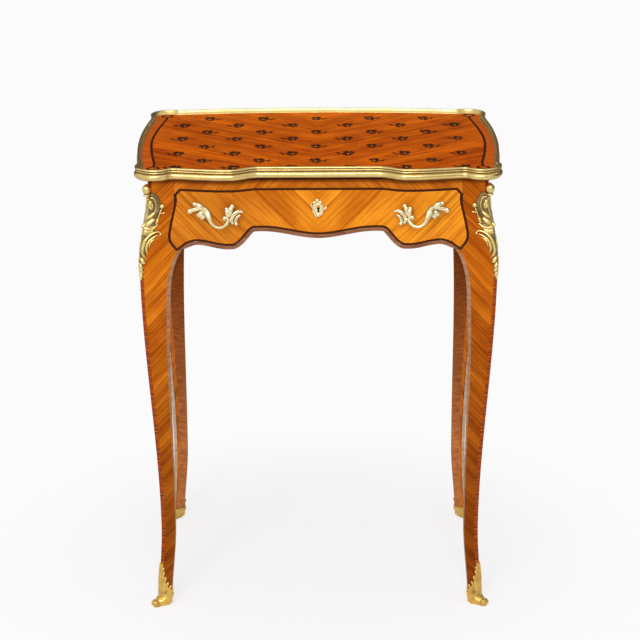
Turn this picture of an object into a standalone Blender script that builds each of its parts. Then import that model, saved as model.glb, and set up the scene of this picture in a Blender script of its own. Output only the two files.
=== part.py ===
"""Side table in the Louis XV manner: a brass-rimmed shaped top on four cabriole legs, with one frieze drawer.

Metres, +Z up. The origin is on the floor below the middle of the table, the front faces -Y and +X is
to the right of someone who stands before it. Each piece is its own object, and the drawer's pieces hang
on an empty that slides along -Y, the lock's bolt on one that slides along +Z.
"""

import math

import bmesh
import bpy
from mathutils import Matrix, Vector

# Clearances
GAP = 0.0003
DRAWER_CLEARANCE = 0.0006
RUNNING_CLEARANCE = 0.0008
SLIVER = 0.0002

# Top: four round ears, a serpentine front, bulging sides and a bowed back
TABLE_HEIGHT = 0.730
EAR_HALF_WIDTH = 0.279
EAR_HALF_DEPTH = 0.199
EAR_RADIUS = 0.032
EAR_FILLET = 0.010
FRONT_RECESS_IN = 0.0175
FRONT_LOBE_OUT = 0.0003
FRONT_END_IN = 0.012
BACK_BOW_OUT = 0.0105
BACK_END_IN = 0.006
SIDE_BULGE_OUT = 0.0055
SIDE_END_IN = 0.0075
RECESS_HALF_WIDTH = 0.090
LOBE_RISE_WIDTH = 0.042
LOBE_FLAT_WIDTH = 0.010
LOBE_FALL_WIDTH = 0.093
BOARD_THICKNESS = 0.0148

# Brass rim, a bead over a torus
RIM_HEIGHT = 0.018
RIM_THICKNESS = 0.007
RIM_LIP = 0.0065
RIM_TORUS_HEIGHT = 0.0108
RIM_TORUS_OUT = 0.0046
RIM_BEAD_SETBACK = 0.0012
RIM_GROOVE_SETBACK = 0.0026
RIM_GROOVE_HEIGHT = 0.0012

# Frieze faces, measured in from the rim
FRONT_RECESS_OVERHANG = 0.0095
FRONT_LOBE_OVERHANG = 0.0153
FRONT_END_OVERHANG = 0.0145
SIDE_OVERHANG = 0.0175
BACK_OVERHANG = 0.0185

# Legs: heights above the floor, drops below the frame's top, and how far the arris swings out
LEG_SETBACK_X = 0.021
LEG_SETBACK_Y = 0.023
STILE_WIDTH = 0.0392
STILE_INNER_FACE = 0.030
BULGE_START_DROP = 0.009
KNEE_DROP = 0.131
KNEE_OUT = 0.015
FLARE_DROP = 0.1887
BRACKET_DROP = 0.1072
BRACKET_REACH = 0.030
THIGH_WIDTH = 0.039
ANKLE_HEIGHT = 0.133
ANKLE_IN = 0.005
ANKLE_WIDTH = 0.0222
FOOT_OUT = 0.0015
FOOT_WIDTH = 0.0195
TAPER_POWER = 1.6
ARRIS_CHAMFER = 0.004
BEVEL_IN = 0.0045
ANKLE_BEVEL_IN = 0.0012
BEVEL_BACK = 0.006
FACE_TILT = 0.001

# Sabots, the cast shoes
SABOT_HEIGHT = 0.075
SABOT_SIDE_HEIGHT = 0.038
SABOT_BASE = 0.003
SABOT_WALL = 0.0015
SABOT_SWELL = 0.0010
SABOT_TOE_OUT = 0.0105
SABOT_TOE_HEIGHT = 0.0125
SABOT_TOE_POWER = 4

# Chutes, the cast corner mounts: how far down the lobe lies, its half height, reach and relief
CHUTE_TOP_DROP = 0.0025
CHUTE_LENGTH = 0.151
CHUTE_MARGIN = 0.0035
CHUTE_EDGE = 0.0012
CHUTE_SEAT = 0.0005
CHUTE_LOBES = {
    "bud": (0.0095, 0.0095, 0.0055, 0.0080),
    "scroll": (0.045, 0.036, 0.025, 0.0058),
    "leaf": (0.092, 0.025, 0.017, 0.0046),
    "tail": (0.130, 0.030, 0.006, 0.0030),
}

# Frieze: the shaped lower edge, as drops below the frame's top
RAIL_HEIGHT = 0.0134
RAIL_DEPTH = 0.0215
EDGE_CENTRE_DROP = 0.0942
EDGE_CREST_DROP = 0.0832
EDGE_LOBE_DROP = 0.1082
EDGE_SHOULDER_DROP = 0.1022
EDGE_END_DROP = 0.1112
EDGE_CREST_AT = 0.085
EDGE_LOBE_START = 0.0985
EDGE_LOBE_END = 0.132
EDGE_LOBE_POWER = 0.66
EDGE_SHOULDER_START = 0.138
EDGE_SHOULDER_END_IN = 0.0348
EDGE_END_IN = 0.0068
SIDE_EDGE_CENTRE_DROP = 0.102
SIDE_EDGE_CREST_DROP = 0.093
SIDE_EDGE_CREST_AT = 0.085
CHAMFER_HEIGHT = 0.0075
CHAMFER_DEPTH = 0.005
APRON_THICKNESS = 0.012
TENON_THICKNESS = 0.009
TENON_HEIGHT = 0.060
TENON_LENGTH = 0.014
TENON_TOP_DROP = 0.012
DOVETAIL_LENGTH = 0.018
DOVETAIL_NECK = 0.011
DOVETAIL_TAIL = 0.016
DOVETAIL_SETBACK = 0.0125
DOVETAIL_FLOOR = 0.002

# Drawer front: how far its outline stays in from the legs' outer line, and drops below its own top
DRAWER_NOTCH_IN = 0.048
DRAWER_NOTCH_DROP = 0.0105
DRAWER_TIP_IN = 0.0385
DRAWER_WAIST_IN = 0.0404
DRAWER_WAIST_DROP = 0.020
DRAWER_SWELL_IN = 0.0293
DRAWER_SWELL_DROP = 0.0744
DRAWER_CORNER_IN = 0.0385
DRAWER_CORNER_DROP = 0.0952
DRAWER_MITRE_IN = 0.048
DRAWER_MITRE_DROP = 0.0995
DRAWER_FRONT_THICKNESS = 0.020

# Drawer box, its runners, guides, kickers and stops
DRAWER_SIDE_THICKNESS = 0.009
DRAWER_SIDE_HEIGHT = 0.060
DRAWER_SIDE_PLAY = 0.0018
DRAWER_BACK_THICKNESS = 0.009
DRAWER_BACK_SETBACK = 0.003
DRAWER_HOUSING = 0.004
DRAWER_BOTTOM_THICKNESS = 0.006
DRAWER_BOTTOM_RAISE = 0.006
DRAWER_GROOVE = 0.0045
DRAWER_TAIL_LENGTH = 0.008
DRAWER_TAIL_NECK = 0.0056
RUNNER_TOP_DROP = 0.0867
RUNNER_HEIGHT = 0.012
RUNNER_BEARING = 0.012
GUIDE_HEIGHT = 0.018
STOP_WIDTH = 0.010
STOP_LENGTH = 0.0154
STOP_HEIGHT = 0.020

# Handles: scroll pulls that stand on two posts
HANDLE_AT = 0.152
HANDLE_BELOW_TOP = 0.040
HANDLE_PROJECTION = 0.0262
HANDLE_STEM_RADIUS = 0.0030
HANDLE_POST_RADIUS = 0.0034
HANDLE_LEAF_LIFT = 0.0075
HANDLE_STUD_RADIUS = 0.0022
HANDLE_INNER_POST = (-0.021, -0.003)
HANDLE_OUTER_POST = (0.022, 0.009)
# Knots of the stem: share of the way between the posts, share of the projection, height over the inner post
HANDLE_STEM = (
    (0.16, 0.84, -0.0067),
    (0.42, 1.00, -0.0095),
    (0.70, 0.92, -0.0035),
    (0.84, 0.66, 0.0047),
)
# Leaves: the post that they start from, how far they reach and rise, and the bend in the middle
HANDLE_LEAVES = (
    (HANDLE_OUTER_POST, 0.024, 0.004, 0.003),
    (HANDLE_OUTER_POST, 0.010, 0.012, 0.002),
    (HANDLE_OUTER_POST, 0.014, -0.009, 0.004),
    (HANDLE_INNER_POST, -0.007, -0.005, 0.001),
    (HANDLE_INNER_POST, -0.004, 0.017, 0.003),
    (HANDLE_INNER_POST, 0.012, 0.016, 0.005),
)
HANDLE_LEAF_ROOT = 0.08
HANDLE_LEAF_RADIUS = 0.00375
HANDLE_TIP_RADIUS = 0.00216
NUT_WIDTH = 0.0095
NUT_THICKNESS = 0.0035
STUD_PROUD = 0.0012

# Escutcheon and lock
LOCK_BELOW_TOP = 0.033
ESCUTCHEON_WIDTH = 0.027
ESCUTCHEON_HEIGHT = 0.029
ESCUTCHEON_THICKNESS = 0.0024
ESCUTCHEON_LOBE = 0.10
KEYHOLE_RADIUS = 0.0026
KEYHOLE_SLOT = 0.0022
KEYHOLE_DROP = 0.0075
LOCK_WIDTH = 0.050
LOCK_HEIGHT = 0.040
LOCK_DEPTH = 0.011
LOCK_FRONT = 0.0030
LOCK_KEY_DEPTH = 0.0025
BOLT_WIDTH = 0.020
BOLT_THICKNESS = 0.0045
BOLT_HEIGHT = 0.018

# How finely the curves are drawn
EDGE_STEPS = 13
SIDE_STEPS = 5
EAR_STEPS = 8
FILLET_STEPS = 3
BOARD_STEP = 0.009
LOBE_STEPS = 14
FACE_STEPS = 3
FOOT_STEPS = 6
SHANK_STEPS = 10
FLARE_STEPS = 7
STILE_STEPS = 16
SHOE_STEPS = 7
TOE_STEPS = 4
STEM_STEPS = 3
OUTLINE_STEPS = 5
PROFILE_STEPS = 4
TRIM_STEPS = 6
ESCUTCHEON_STEPS = 32
KEYHOLE_STEPS = 10
TUBE_RESOLUTION = 2

# Heights worked out from the driving sizes
FIELD = TABLE_HEIGHT - RIM_LIP
BOARD_BOTTOM = FIELD - BOARD_THICKNESS
FRAME_TOP = BOARD_BOTTOM - GAP
RAIL_BOTTOM = FRAME_TOP - RAIL_HEIGHT
DRAWER_TOP = RAIL_BOTTOM - DRAWER_CLEARANCE
KNEE = FRAME_TOP - KNEE_DROP
FLARE = FRAME_TOP - FLARE_DROP
BRACKET = FRAME_TOP - BRACKET_DROP
APRON_END = BRACKET + GAP
CHUTE_TOP = FRAME_TOP - CHUTE_TOP_DROP
CHUTE_BOTTOM = CHUTE_TOP - CHUTE_LENGTH
FOOT_BOTTOM = SABOT_BASE + GAP
RUNNER_TOP = FRAME_TOP - RUNNER_TOP_DROP
DRAWER_FLOOR = RUNNER_TOP + GAP
DRAWER_SIDE_TOP = DRAWER_FLOOR + DRAWER_SIDE_HEIGHT
PANEL_BOTTOM = DRAWER_FLOOR + DRAWER_BOTTOM_RAISE
PANEL_TOP = PANEL_BOTTOM + DRAWER_BOTTOM_THICKNESS
KICKER_BOTTOM = DRAWER_SIDE_TOP + RUNNING_CLEARANCE

# Plan positions worked out from the driving sizes, as distances from the middle
EAR_X = EAR_HALF_WIDTH - EAR_RADIUS
EAR_Y = EAR_HALF_DEPTH - EAR_RADIUS
ARRIS_X = EAR_HALF_WIDTH - LEG_SETBACK_X
ARRIS_Y = EAR_HALF_DEPTH - LEG_SETBACK_Y
STILE_X = ARRIS_X - STILE_WIDTH
STILE_Y = ARRIS_Y - STILE_WIDTH
FRONT_BACK_FACE = EAR_HALF_DEPTH - FRONT_RECESS_IN - FRONT_RECESS_OVERHANG - DRAWER_FRONT_THICKNESS
REBATE = FRONT_BACK_FACE - DRAWER_CLEARANCE
RAIL_BACK = EAR_HALF_DEPTH - FRONT_RECESS_IN - FRONT_RECESS_OVERHANG - RAIL_DEPTH
SIDE_OUTER = STILE_X - DRAWER_SIDE_PLAY
SIDE_INNER = SIDE_OUTER - DRAWER_SIDE_THICKNESS
EDGE_END_AT = STILE_X - EDGE_END_IN
EDGE_SHOULDER_END = STILE_X - EDGE_SHOULDER_END_IN
DRAWER_NOTCH_AT = ARRIS_X - DRAWER_NOTCH_IN
DRAWER_TIP_AT = ARRIS_X - DRAWER_TIP_IN
DRAWER_WAIST_AT = ARRIS_X - DRAWER_WAIST_IN
DRAWER_SWELL_AT = ARRIS_X - DRAWER_SWELL_IN
DRAWER_CORNER_AT = ARRIS_X - DRAWER_CORNER_IN
DRAWER_MITRE_AT = ARRIS_X - DRAWER_MITRE_IN

FINISHES = {
    "tulipwood": ((0.62, 0.26, 0.05), 0.28, 0.0),
    "marquetry": ((0.50, 0.14, 0.02), 0.22, 0.0),
    "oak": ((0.42, 0.28, 0.15), 0.60, 0.0),
    "gilt_brass": ((0.80, 0.60, 0.22), 0.28, 1.0),
    "steel": ((0.35, 0.34, 0.32), 0.45, 1.0),
}


def smooth(value):
    """Eased step from 0 to 1, flat at both ends."""
    value = min(max(value, 0.0), 1.0)
    return value * value * (3.0 - 2.0 * value)


def mix(first, second, share):
    return first + (second - first) * share


def steps(first, last, count):
    """Evenly spaced values from first to last, both included."""
    return [mix(first, last, i / count) for i in range(count + 1)]


def spline(points, count):
    """A smooth curve through the points, with count steps between each two."""
    padded = [points[0], *points, points[-1]]
    curve = [Vector(points[0])]
    for before, start, end, after in zip(padded, padded[1:], padded[2:], padded[3:]):
        before, start, end, after = map(Vector, (before, start, end, after))
        for share in steps(0.0, 1.0, count)[1:]:
            near = (end - before) / 2 * share * (1 - share) ** 2
            far = (after - start) / 2 * share**2 * (share - 1)
            curve.append(start.lerp(end, smooth(share)) + near + far)
    return curve


def offset_loop(loop, distance):
    """A closed outline moved outwards by a distance, each corner along its mitre."""
    moved = []
    area = sum(a[0] * b[1] - b[0] * a[1] for a, b in zip(loop, loop[1:] + loop[:1]))
    for before, here, after in zip(loop[-1:] + loop[:-1], loop, loop[1:] + loop[:1]):
        first = Vector((here[0] - before[0], here[1] - before[1])).normalized()
        second = Vector((after[0] - here[0], after[1] - here[1])).normalized()
        mitre = first + second
        normal = Vector((mitre.y, -mitre.x)) * math.copysign(1.0, area) / (1.0 + first.dot(second))
        moved.append((here[0] + normal.x * distance, here[1] + normal.y * distance))
    return moved


def serpentine(x, recess, lobe, end):
    """Depth of a front curve: hollow in the middle, full over the lobes, falling towards the legs."""
    lobe_start = RECESS_HALF_WIDTH + LOBE_RISE_WIDTH
    rise = smooth((abs(x) - RECESS_HALF_WIDTH) / LOBE_RISE_WIDTH)
    fall = smooth((abs(x) - lobe_start - LOBE_FLAT_WIDTH) / LOBE_FALL_WIDTH)
    return recess + (lobe - recess) * rise - (lobe - end) * fall


def rim_front(x):
    return EAR_HALF_DEPTH + serpentine(x, -FRONT_RECESS_IN, FRONT_LOBE_OUT, -FRONT_END_IN)


def rim_back(x):
    return EAR_HALF_DEPTH + mix(BACK_BOW_OUT, -BACK_END_IN, (x / EAR_X) ** 2)


def rim_side(y):
    return EAR_HALF_WIDTH + mix(SIDE_BULGE_OUT, -SIDE_END_IN, (y / EAR_Y) ** 2)


def frieze_front(x):
    recess = FRONT_RECESS_IN + FRONT_RECESS_OVERHANG
    lobe = FRONT_LOBE_OVERHANG - FRONT_LOBE_OUT
    end = FRONT_END_IN + FRONT_END_OVERHANG
    return EAR_HALF_DEPTH + serpentine(x, -recess, -lobe, -end)


def frieze_back(x):
    return rim_back(x) - BACK_OVERHANG


def frieze_side(y):
    return rim_side(y) - SIDE_OVERHANG


def back_wall():
    """Depth of the back apron's inner face, less a gap."""
    return frieze_back(STILE_X) - APRON_THICKNESS - GAP


def drawer_rear():
    """Depth of the back end of the drawer's sides, with room for the stops behind it."""
    return back_wall() - STOP_LENGTH - GAP


def front_edge(x):
    """Height of the frieze's shaped lower edge on the front and the back."""
    x = abs(x)
    drop = mix(EDGE_CENTRE_DROP, EDGE_CREST_DROP, smooth(x / EDGE_CREST_AT))
    lobe_share = max(0.0, x - EDGE_LOBE_START) / (EDGE_LOBE_END - EDGE_LOBE_START)
    lobe = smooth(lobe_share**EDGE_LOBE_POWER)
    shoulder = smooth((x - EDGE_SHOULDER_START) / (EDGE_SHOULDER_END - EDGE_SHOULDER_START))
    end = smooth((x - EDGE_SHOULDER_END) / (EDGE_END_AT - EDGE_SHOULDER_END))
    drop += (EDGE_LOBE_DROP - EDGE_CREST_DROP) * lobe
    drop += (EDGE_SHOULDER_DROP - EDGE_LOBE_DROP) * shoulder
    drop += (EDGE_END_DROP - EDGE_SHOULDER_DROP) * end
    return FRAME_TOP - drop


def back_edge(x):
    """The same edge on the back, kept above the brackets of the legs."""
    return max(front_edge(x), APRON_END)


def side_edge(y):
    """Height of the lower edge of the sides: a flat tongue between two crests, level over the brackets."""
    drop = mix(SIDE_EDGE_CENTRE_DROP, SIDE_EDGE_CREST_DROP, smooth(abs(y) / SIDE_EDGE_CREST_AT))
    bracket_tip = ARRIS_Y + KNEE_OUT - THIGH_WIDTH - BRACKET_REACH
    end = smooth((abs(y) - SIDE_EDGE_CREST_AT) / (bracket_tip - SIDE_EDGE_CREST_AT))
    return mix(FRAME_TOP - drop, APRON_END, end)


def arc(centre, radius, first, last, count):
    """Points on a circle between two angles, without the last one."""
    angles = steps(first, last, count)[:-1]
    return [(centre[0] + radius * math.cos(a), centre[1] + radius * math.sin(a)) for a in angles]


def near_angle(angle, other):
    """The same direction as angle, within half a turn of another angle."""
    return other + (angle - other + math.pi) % (2 * math.pi) - math.pi


def fillet_on(edge, ear_along, ear_out):
    """Where the concave arc between an edge and an ear touches the edge, and that arc's centre."""
    low, high = 0.0, ear_along
    while high - low > GAP / 1000:
        along = (low + high) / 2
        slope = (edge(along + GAP) - edge(along - GAP)) / (2 * GAP)
        normal = Vector((-slope, 1.0)).normalized() * EAR_FILLET
        centre = Vector((along, edge(along))) + normal
        if (centre - Vector((ear_along, ear_out))).length > EAR_RADIUS + EAR_FILLET:
            low = along
        else:
            high = along
    return along, centre


def quarter(edge):
    """A quarter of the rim's outline, from the middle of an edge to the middle of a side, in three runs."""
    along, near = fillet_on(edge, EAR_X, EAR_Y)
    across, far = fillet_on(rim_side, EAR_Y, EAR_X)
    far = Vector((far.y, far.x))
    ear = Vector((EAR_X, EAR_Y))
    edge_end = Vector((along, edge(along)))
    side_end = Vector((rim_side(across), across))
    first = math.atan2(near.y - ear.y, near.x - ear.x)
    last = math.atan2(far.y - ear.y, far.x - ear.x)
    touch = math.atan2(edge_end.y - near.y, edge_end.x - near.x)
    leave = math.atan2(side_end.y - far.y, side_end.x - far.x)
    edge_run = [(x, edge(x)) for x in steps(0.0, along, EDGE_STEPS)[:-1]]
    edge_run += arc(near, EAR_FILLET, touch, near_angle(first - math.pi, touch), FILLET_STEPS)
    ear_run = arc(ear, EAR_RADIUS, first, last, EAR_STEPS)
    side_run = arc(far, EAR_FILLET, last - math.pi, near_angle(leave, last - math.pi), FILLET_STEPS)
    side_run += [(rim_side(y), y) for y in steps(across, 0.0, SIDE_STEPS)]
    return edge_run, ear_run, side_run


def rim_outline():
    """The rim's outline anticlockwise from the middle of the front, and where each length of it starts."""
    front_run, front_ear, front_side = quarter(rim_front)
    back_run, back_ear, back_side = quarter(rim_back)
    right = [(x, -y) for x, y in front_run + front_ear + front_side]
    right += [(x, y) for x, y in (back_run + back_ear + back_side)[-2::-1]]
    left = [(-x, y) for x, y in right[-2:0:-1]]
    loop = right + left
    ear_starts = len(front_run)
    ear_ends = ear_starts + len(front_ear)
    back_ends = len(right) - 1 - len(back_run)
    back_starts = back_ends - len(back_ear)
    count = len(loop)
    joints = {
        "rim_corner_front_right": (ear_starts, ear_ends),
        "rim_right": (ear_ends, back_starts),
        "rim_corner_back_right": (back_starts, back_ends),
        "rim_back": (back_ends, count - back_ends),
        "rim_corner_back_left": (count - back_ends, count - back_starts),
        "rim_left": (count - back_starts, count - ear_ends),
        "rim_corner_front_left": (count - ear_ends, count - ear_starts),
        "rim_front": (count - ear_starts, count + ear_starts),
    }
    return loop, joints


def drawer_outline(clearance):
    """The drawer front seen from before it, in X and Z, left long below for the front's own edge."""
    tip = (DRAWER_TIP_AT, DRAWER_TOP - DRAWER_NOTCH_DROP)
    waist = (DRAWER_WAIST_AT, DRAWER_TOP - DRAWER_WAIST_DROP)
    swell = (DRAWER_SWELL_AT, DRAWER_TOP - DRAWER_SWELL_DROP)
    corner = (DRAWER_CORNER_AT, DRAWER_TOP - DRAWER_CORNER_DROP)
    right = [(DRAWER_NOTCH_AT, DRAWER_TOP)]
    right += [tuple(p) for p in spline([tip, waist, swell, corner], OUTLINE_STEPS)]
    right += [(DRAWER_MITRE_AT, DRAWER_TOP - DRAWER_MITRE_DROP)]
    right += [(DRAWER_MITRE_AT, KNEE)]
    loop = right + [(-x, z) for x, z in right[::-1]]
    return offset_loop(loop, clearance)


def arris_out(z):
    """How far the leg's outer edge stands out from its line at the frieze."""
    if z > KNEE:
        start = FRAME_TOP - BULGE_START_DROP
        return KNEE_OUT * smooth((start - z) / (start - KNEE))
    if z > ANKLE_HEIGHT:
        return mix(-ANKLE_IN, KNEE_OUT, smooth((z - ANKLE_HEIGHT) / (KNEE - ANKLE_HEIGHT)))
    return mix(FOOT_OUT, -ANKLE_IN, smooth(z / ANKLE_HEIGHT))


def face_width(z):
    """Width of a leg's outer face, from the arris to its inner edge."""
    if z > BRACKET:
        return STILE_WIDTH + arris_out(z)
    if z > FLARE:
        share = (z - FLARE) / (BRACKET - FLARE)
        inner = KNEE_OUT - THIGH_WIDTH - BRACKET_REACH * (1 - math.sqrt(1 - share * share))
        return arris_out(z) - inner + (arris_out(FLARE) - KNEE_OUT) * (1 - share)
    if z > ANKLE_HEIGHT:
        share = (z - ANKLE_HEIGHT) / (FLARE - ANKLE_HEIGHT)
        return mix(ANKLE_WIDTH, THIGH_WIDTH, share**TAPER_POWER)
    return mix(FOOT_WIDTH, ANKLE_WIDTH, z / ANKLE_HEIGHT)


def front_bevel(z):
    """Width of the bevel beside the front or back face: broad at the knee, fine at the ankle."""
    share = min(max((z - ANKLE_HEIGHT) / (FLARE - ANKLE_HEIGHT), 0.0), 1.0)
    return mix(ANKLE_BEVEL_IN, BEVEL_IN, share * share)


def leg_section(z, frieze):
    """The leg cut level at a height: two outer faces, a chamfered arris, two bevels and a broad inner face.

    Points are distances from the table's middle: along the front from its inner edge to the arris, along the
    side to its inner edge, then the two ends of the inner face. frieze gives the depth of the frieze that the
    leg carries on.
    """
    out = arris_out(z)
    width = face_width(z)
    arris_x = ARRIS_X + out
    arris_y = ARRIS_Y + out
    inner_x = arris_x - width
    inner_y = arris_y - width
    blend = smooth((z - FLARE) / (BRACKET - FLARE))
    front_tilt = mix(FACE_TILT, arris_y - frieze(STILE_X), blend)
    side_tilt = mix(FACE_TILT, arris_x - frieze_side(STILE_Y), blend)
    run = STILE_WIDTH + out - ARRIS_CHAMFER
    front = arris_y - front_tilt * (width - ARRIS_CHAMFER) / run
    side = arris_x - side_tilt * (width - ARRIS_CHAMFER) / run
    if z > BRACKET:
        bevel_front = (inner_x, ARRIS_Y - STILE_INNER_FACE)
        bevel_side = (ARRIS_X - STILE_INNER_FACE, inner_y)
    else:
        bevel_front = (inner_x - front_bevel(z), front - BEVEL_BACK)
        bevel_side = (side - BEVEL_BACK, inner_y - BEVEL_IN)
    shares = steps(0.0, 1.0, FACE_STEPS)
    front_face = [(mix(inner_x, arris_x - ARRIS_CHAMFER, s), mix(front, arris_y, s)) for s in shares]
    side_face = [(mix(arris_x, side, s), mix(arris_y - ARRIS_CHAMFER, inner_y, s)) for s in shares]
    return front_face + side_face + [bevel_side, bevel_front]


def foot_levels():
    return steps(FOOT_BOTTOM, SABOT_HEIGHT + SABOT_SIDE_HEIGHT, FOOT_STEPS)


def leg_levels():
    """Heights of the sections that a leg is drawn through, close together where its outline turns fast."""
    levels = foot_levels()
    levels += steps(levels[-1], FLARE, SHANK_STEPS)
    levels += steps(FLARE, BRACKET, FLARE_STEPS)
    levels += steps(BRACKET + SLIVER, CHUTE_TOP, STILE_STEPS)
    return sorted({*levels, CHUTE_BOTTOM, FRAME_TOP})


def chute_levels():
    """The same heights within the corner mount, so that it lies on the leg all the way."""
    return [z for z in leg_levels() if CHUTE_BOTTOM <= z <= CHUTE_TOP]


def place(section, z, side_x, side_y):
    """A level section, given as distances from the middle, put on one side of the table in each direction."""
    return [Vector((side_x * x, side_y * y, z)) for x, y in section]


class Model:
    """Makes the collections, and every object and cutter in them."""

    def __init__(self):
        for obj in list(bpy.data.objects):
            bpy.data.objects.remove(obj, do_unlink=True)
        self.parts = self.collection("side_table")
        self.cutters = self.collection("cutters")
        self.cutters.hide_render = True
        self.origins = {}
        self.carcass = self.empty("carcass_frame", (0.0, 0.0, 0.0))
        self.drawer = self.empty("drawer_slide", (0.0, -FRONT_BACK_FACE, RUNNER_TOP))
        self.bolt = self.empty("bolt_slide", (0.0, -bolt_depth(), DRAWER_TOP), self.drawer)

    def collection(self, name):
        made = bpy.data.collections.new(name)
        bpy.context.scene.collection.children.link(made)
        return made

    def empty(self, name, location, parent=None):
        made = bpy.data.objects.new(name, None)
        made.parent = parent
        made.location = Vector(location) - (self.origins[parent.name] if parent else Vector())
        self.origins[name] = Vector(location)
        self.parts.objects.link(made)
        return made

    def add(self, name, mesh, finish, parent=None, location=(0.0, 0.0, 0.0)):
        """A named piece of the table, with its own material, hung on its body's empty."""
        made = bpy.data.objects.new(name, mesh)
        made.parent = parent or self.carcass
        made.location = Vector(location) - self.origins[made.parent.name]
        self.parts.objects.link(made)
        color, roughness, metallic = FINISHES[finish]
        material = bpy.data.materials.new(name)
        material.use_nodes = True
        shader = material.node_tree.nodes["Principled BSDF"]
        shader.inputs["Base Color"].default_value = (*color, 1.0)
        shader.inputs["Roughness"].default_value = roughness
        shader.inputs["Metallic"].default_value = metallic
        mesh.materials.clear()
        mesh.materials.append(material)
        mesh.shade_smooth()
        mesh.set_sharp_from_angle(angle=math.radians(35))
        return made

    def box(self, name, low, high, finish, parent=None):
        low, high = Vector(low), Vector(high)
        return self.add(name, box_mesh(name, low, high), finish, parent, (low + high) / 2)

    def boolean(self, piece, mesh, operation="DIFFERENCE"):
        """Cuts a mesh out of a piece, or joins it on, where the mesh is given in the table's frame."""
        helper = bpy.data.objects.new(f"{piece.name}_{operation.lower()}", mesh)
        helper.hide_render = True
        helper.display_type = "WIRE"
        self.cutters.objects.link(helper)
        modifier = piece.modifiers.new(helper.name, "BOOLEAN")
        modifier.operation = operation
        modifier.object = helper

    def cut_box(self, piece, low, high, operation="DIFFERENCE"):
        low, high = Vector(low), Vector(high)
        mesh = box_mesh(piece.name, low, high)
        mesh.transform(Matrix.Translation((low + high) / 2))
        self.boolean(piece, mesh, operation)


def box_mesh(name, low, high):
    """A block of the size between two corners, centred on its own origin."""
    mesh = bpy.data.meshes.new(name)
    block = bmesh.new()
    bmesh.ops.create_cube(block, size=1.0)
    size = high - low
    bmesh.ops.scale(block, vec=[abs(side) for side in size], verts=block.verts)
    block.to_mesh(mesh)
    block.free()
    return mesh


def loft(name, sections):
    """A closed solid through a row of sections with the same number of points."""
    mesh = bpy.data.meshes.new(name)
    shell = bmesh.new()
    rings = [[shell.verts.new(point) for point in section] for section in sections]
    for lower, upper in zip(rings, rings[1:]):
        for i in range(len(lower)):
            shell.faces.new((lower[i - 1], lower[i], upper[i], upper[i - 1]))
    shell.faces.new(rings[0])
    shell.faces.new(rings[-1])
    bmesh.ops.recalc_face_normals(shell, faces=shell.faces)
    shell.to_mesh(mesh)
    shell.free()
    return mesh


def curve_mesh(name, curve):
    """The mesh of a curve, with its caps welded on and its faces turned out."""
    helper = bpy.data.objects.new(name, curve)
    bpy.context.scene.collection.objects.link(helper)
    graph = bpy.context.evaluated_depsgraph_get()
    mesh = bpy.data.meshes.new_from_object(helper.evaluated_get(graph))
    bpy.data.objects.remove(helper, do_unlink=True)
    shell = bmesh.new()
    shell.from_mesh(mesh)
    bmesh.ops.remove_doubles(shell, verts=shell.verts, dist=GAP / 30)
    bmesh.ops.recalc_face_normals(shell, faces=shell.faces)
    shell.to_mesh(mesh)
    shell.free()
    return mesh


def new_spline(name, points, cyclic):
    curve = bpy.data.curves.new(name, "CURVE")
    path = curve.splines.new("POLY")
    path.points.add(len(points) - 1)
    for spot, point in zip(path.points, points):
        spot.co = (*point, *(0.0,) * (3 - len(point)), 1.0)
    path.use_cyclic_u = cyclic
    return curve


def slab(name, outline, low, high):
    """A flat outline in X and Y with a thickness from one height to another."""
    curve = new_spline(name, outline, True)
    curve.dimensions = "2D"
    curve.fill_mode = "BOTH"
    curve.extrude = (high - low) / 2
    mesh = curve_mesh(name, curve)
    mesh.transform(Matrix.Translation((0.0, 0.0, (low + high) / 2)))
    return mesh


def upright_slab(name, outline, front, back):
    """A flat outline in X and Z with a thickness from one depth to another, along Y."""
    mesh = slab(name, outline, -back, -front)
    mesh.transform(Matrix.Rotation(math.pi / 2, 4, "X"))
    return mesh


def tube(name, points, radii):
    """A round bar along the points, with its own radius at each of them."""
    curve = new_spline(name, points, False)
    curve.dimensions = "3D"
    curve.bevel_depth = 1.0
    curve.bevel_resolution = TUBE_RESOLUTION
    curve.use_fill_caps = True
    for spot, radius in zip(curve.splines[0].points, radii):
        spot.radius = radius
    return curve_mesh(name, curve)


def board_stations(half_length):
    """Places where a frieze board is drawn, close together where its edge drops to the lobe."""
    first, last = EDGE_CREST_AT, min(EDGE_SHOULDER_START, half_length)
    lobe = steps(first, last, LOBE_STEPS)
    stations = steps(-half_length, half_length, 2 * round(half_length / BOARD_STEP))
    spread = [x for x in stations if not first - SLIVER < abs(x) < last + SLIVER]
    return sorted({*spread, *lobe, *(-x for x in lobe)})


def shaped_board(name, half_length, face, edge, inner, turn):
    """A frieze board along X: its outer face follows a plan curve, its lower edge a profile with a chamfer.

    turn takes the board, drawn with its face towards -Y, to its own side of the table.
    """
    sections = []
    for x in board_stations(half_length):
        depth = -face(x)
        low = edge(x)
        profile = [
            (depth, FRAME_TOP),
            (depth, low + CHAMFER_HEIGHT),
            (depth + CHAMFER_DEPTH, low),
            (-inner, low),
            (-inner, FRAME_TOP),
        ]
        sections.append([turn @ Vector((x, y, z)) for y, z in profile])
    return loft(name, sections)


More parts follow.
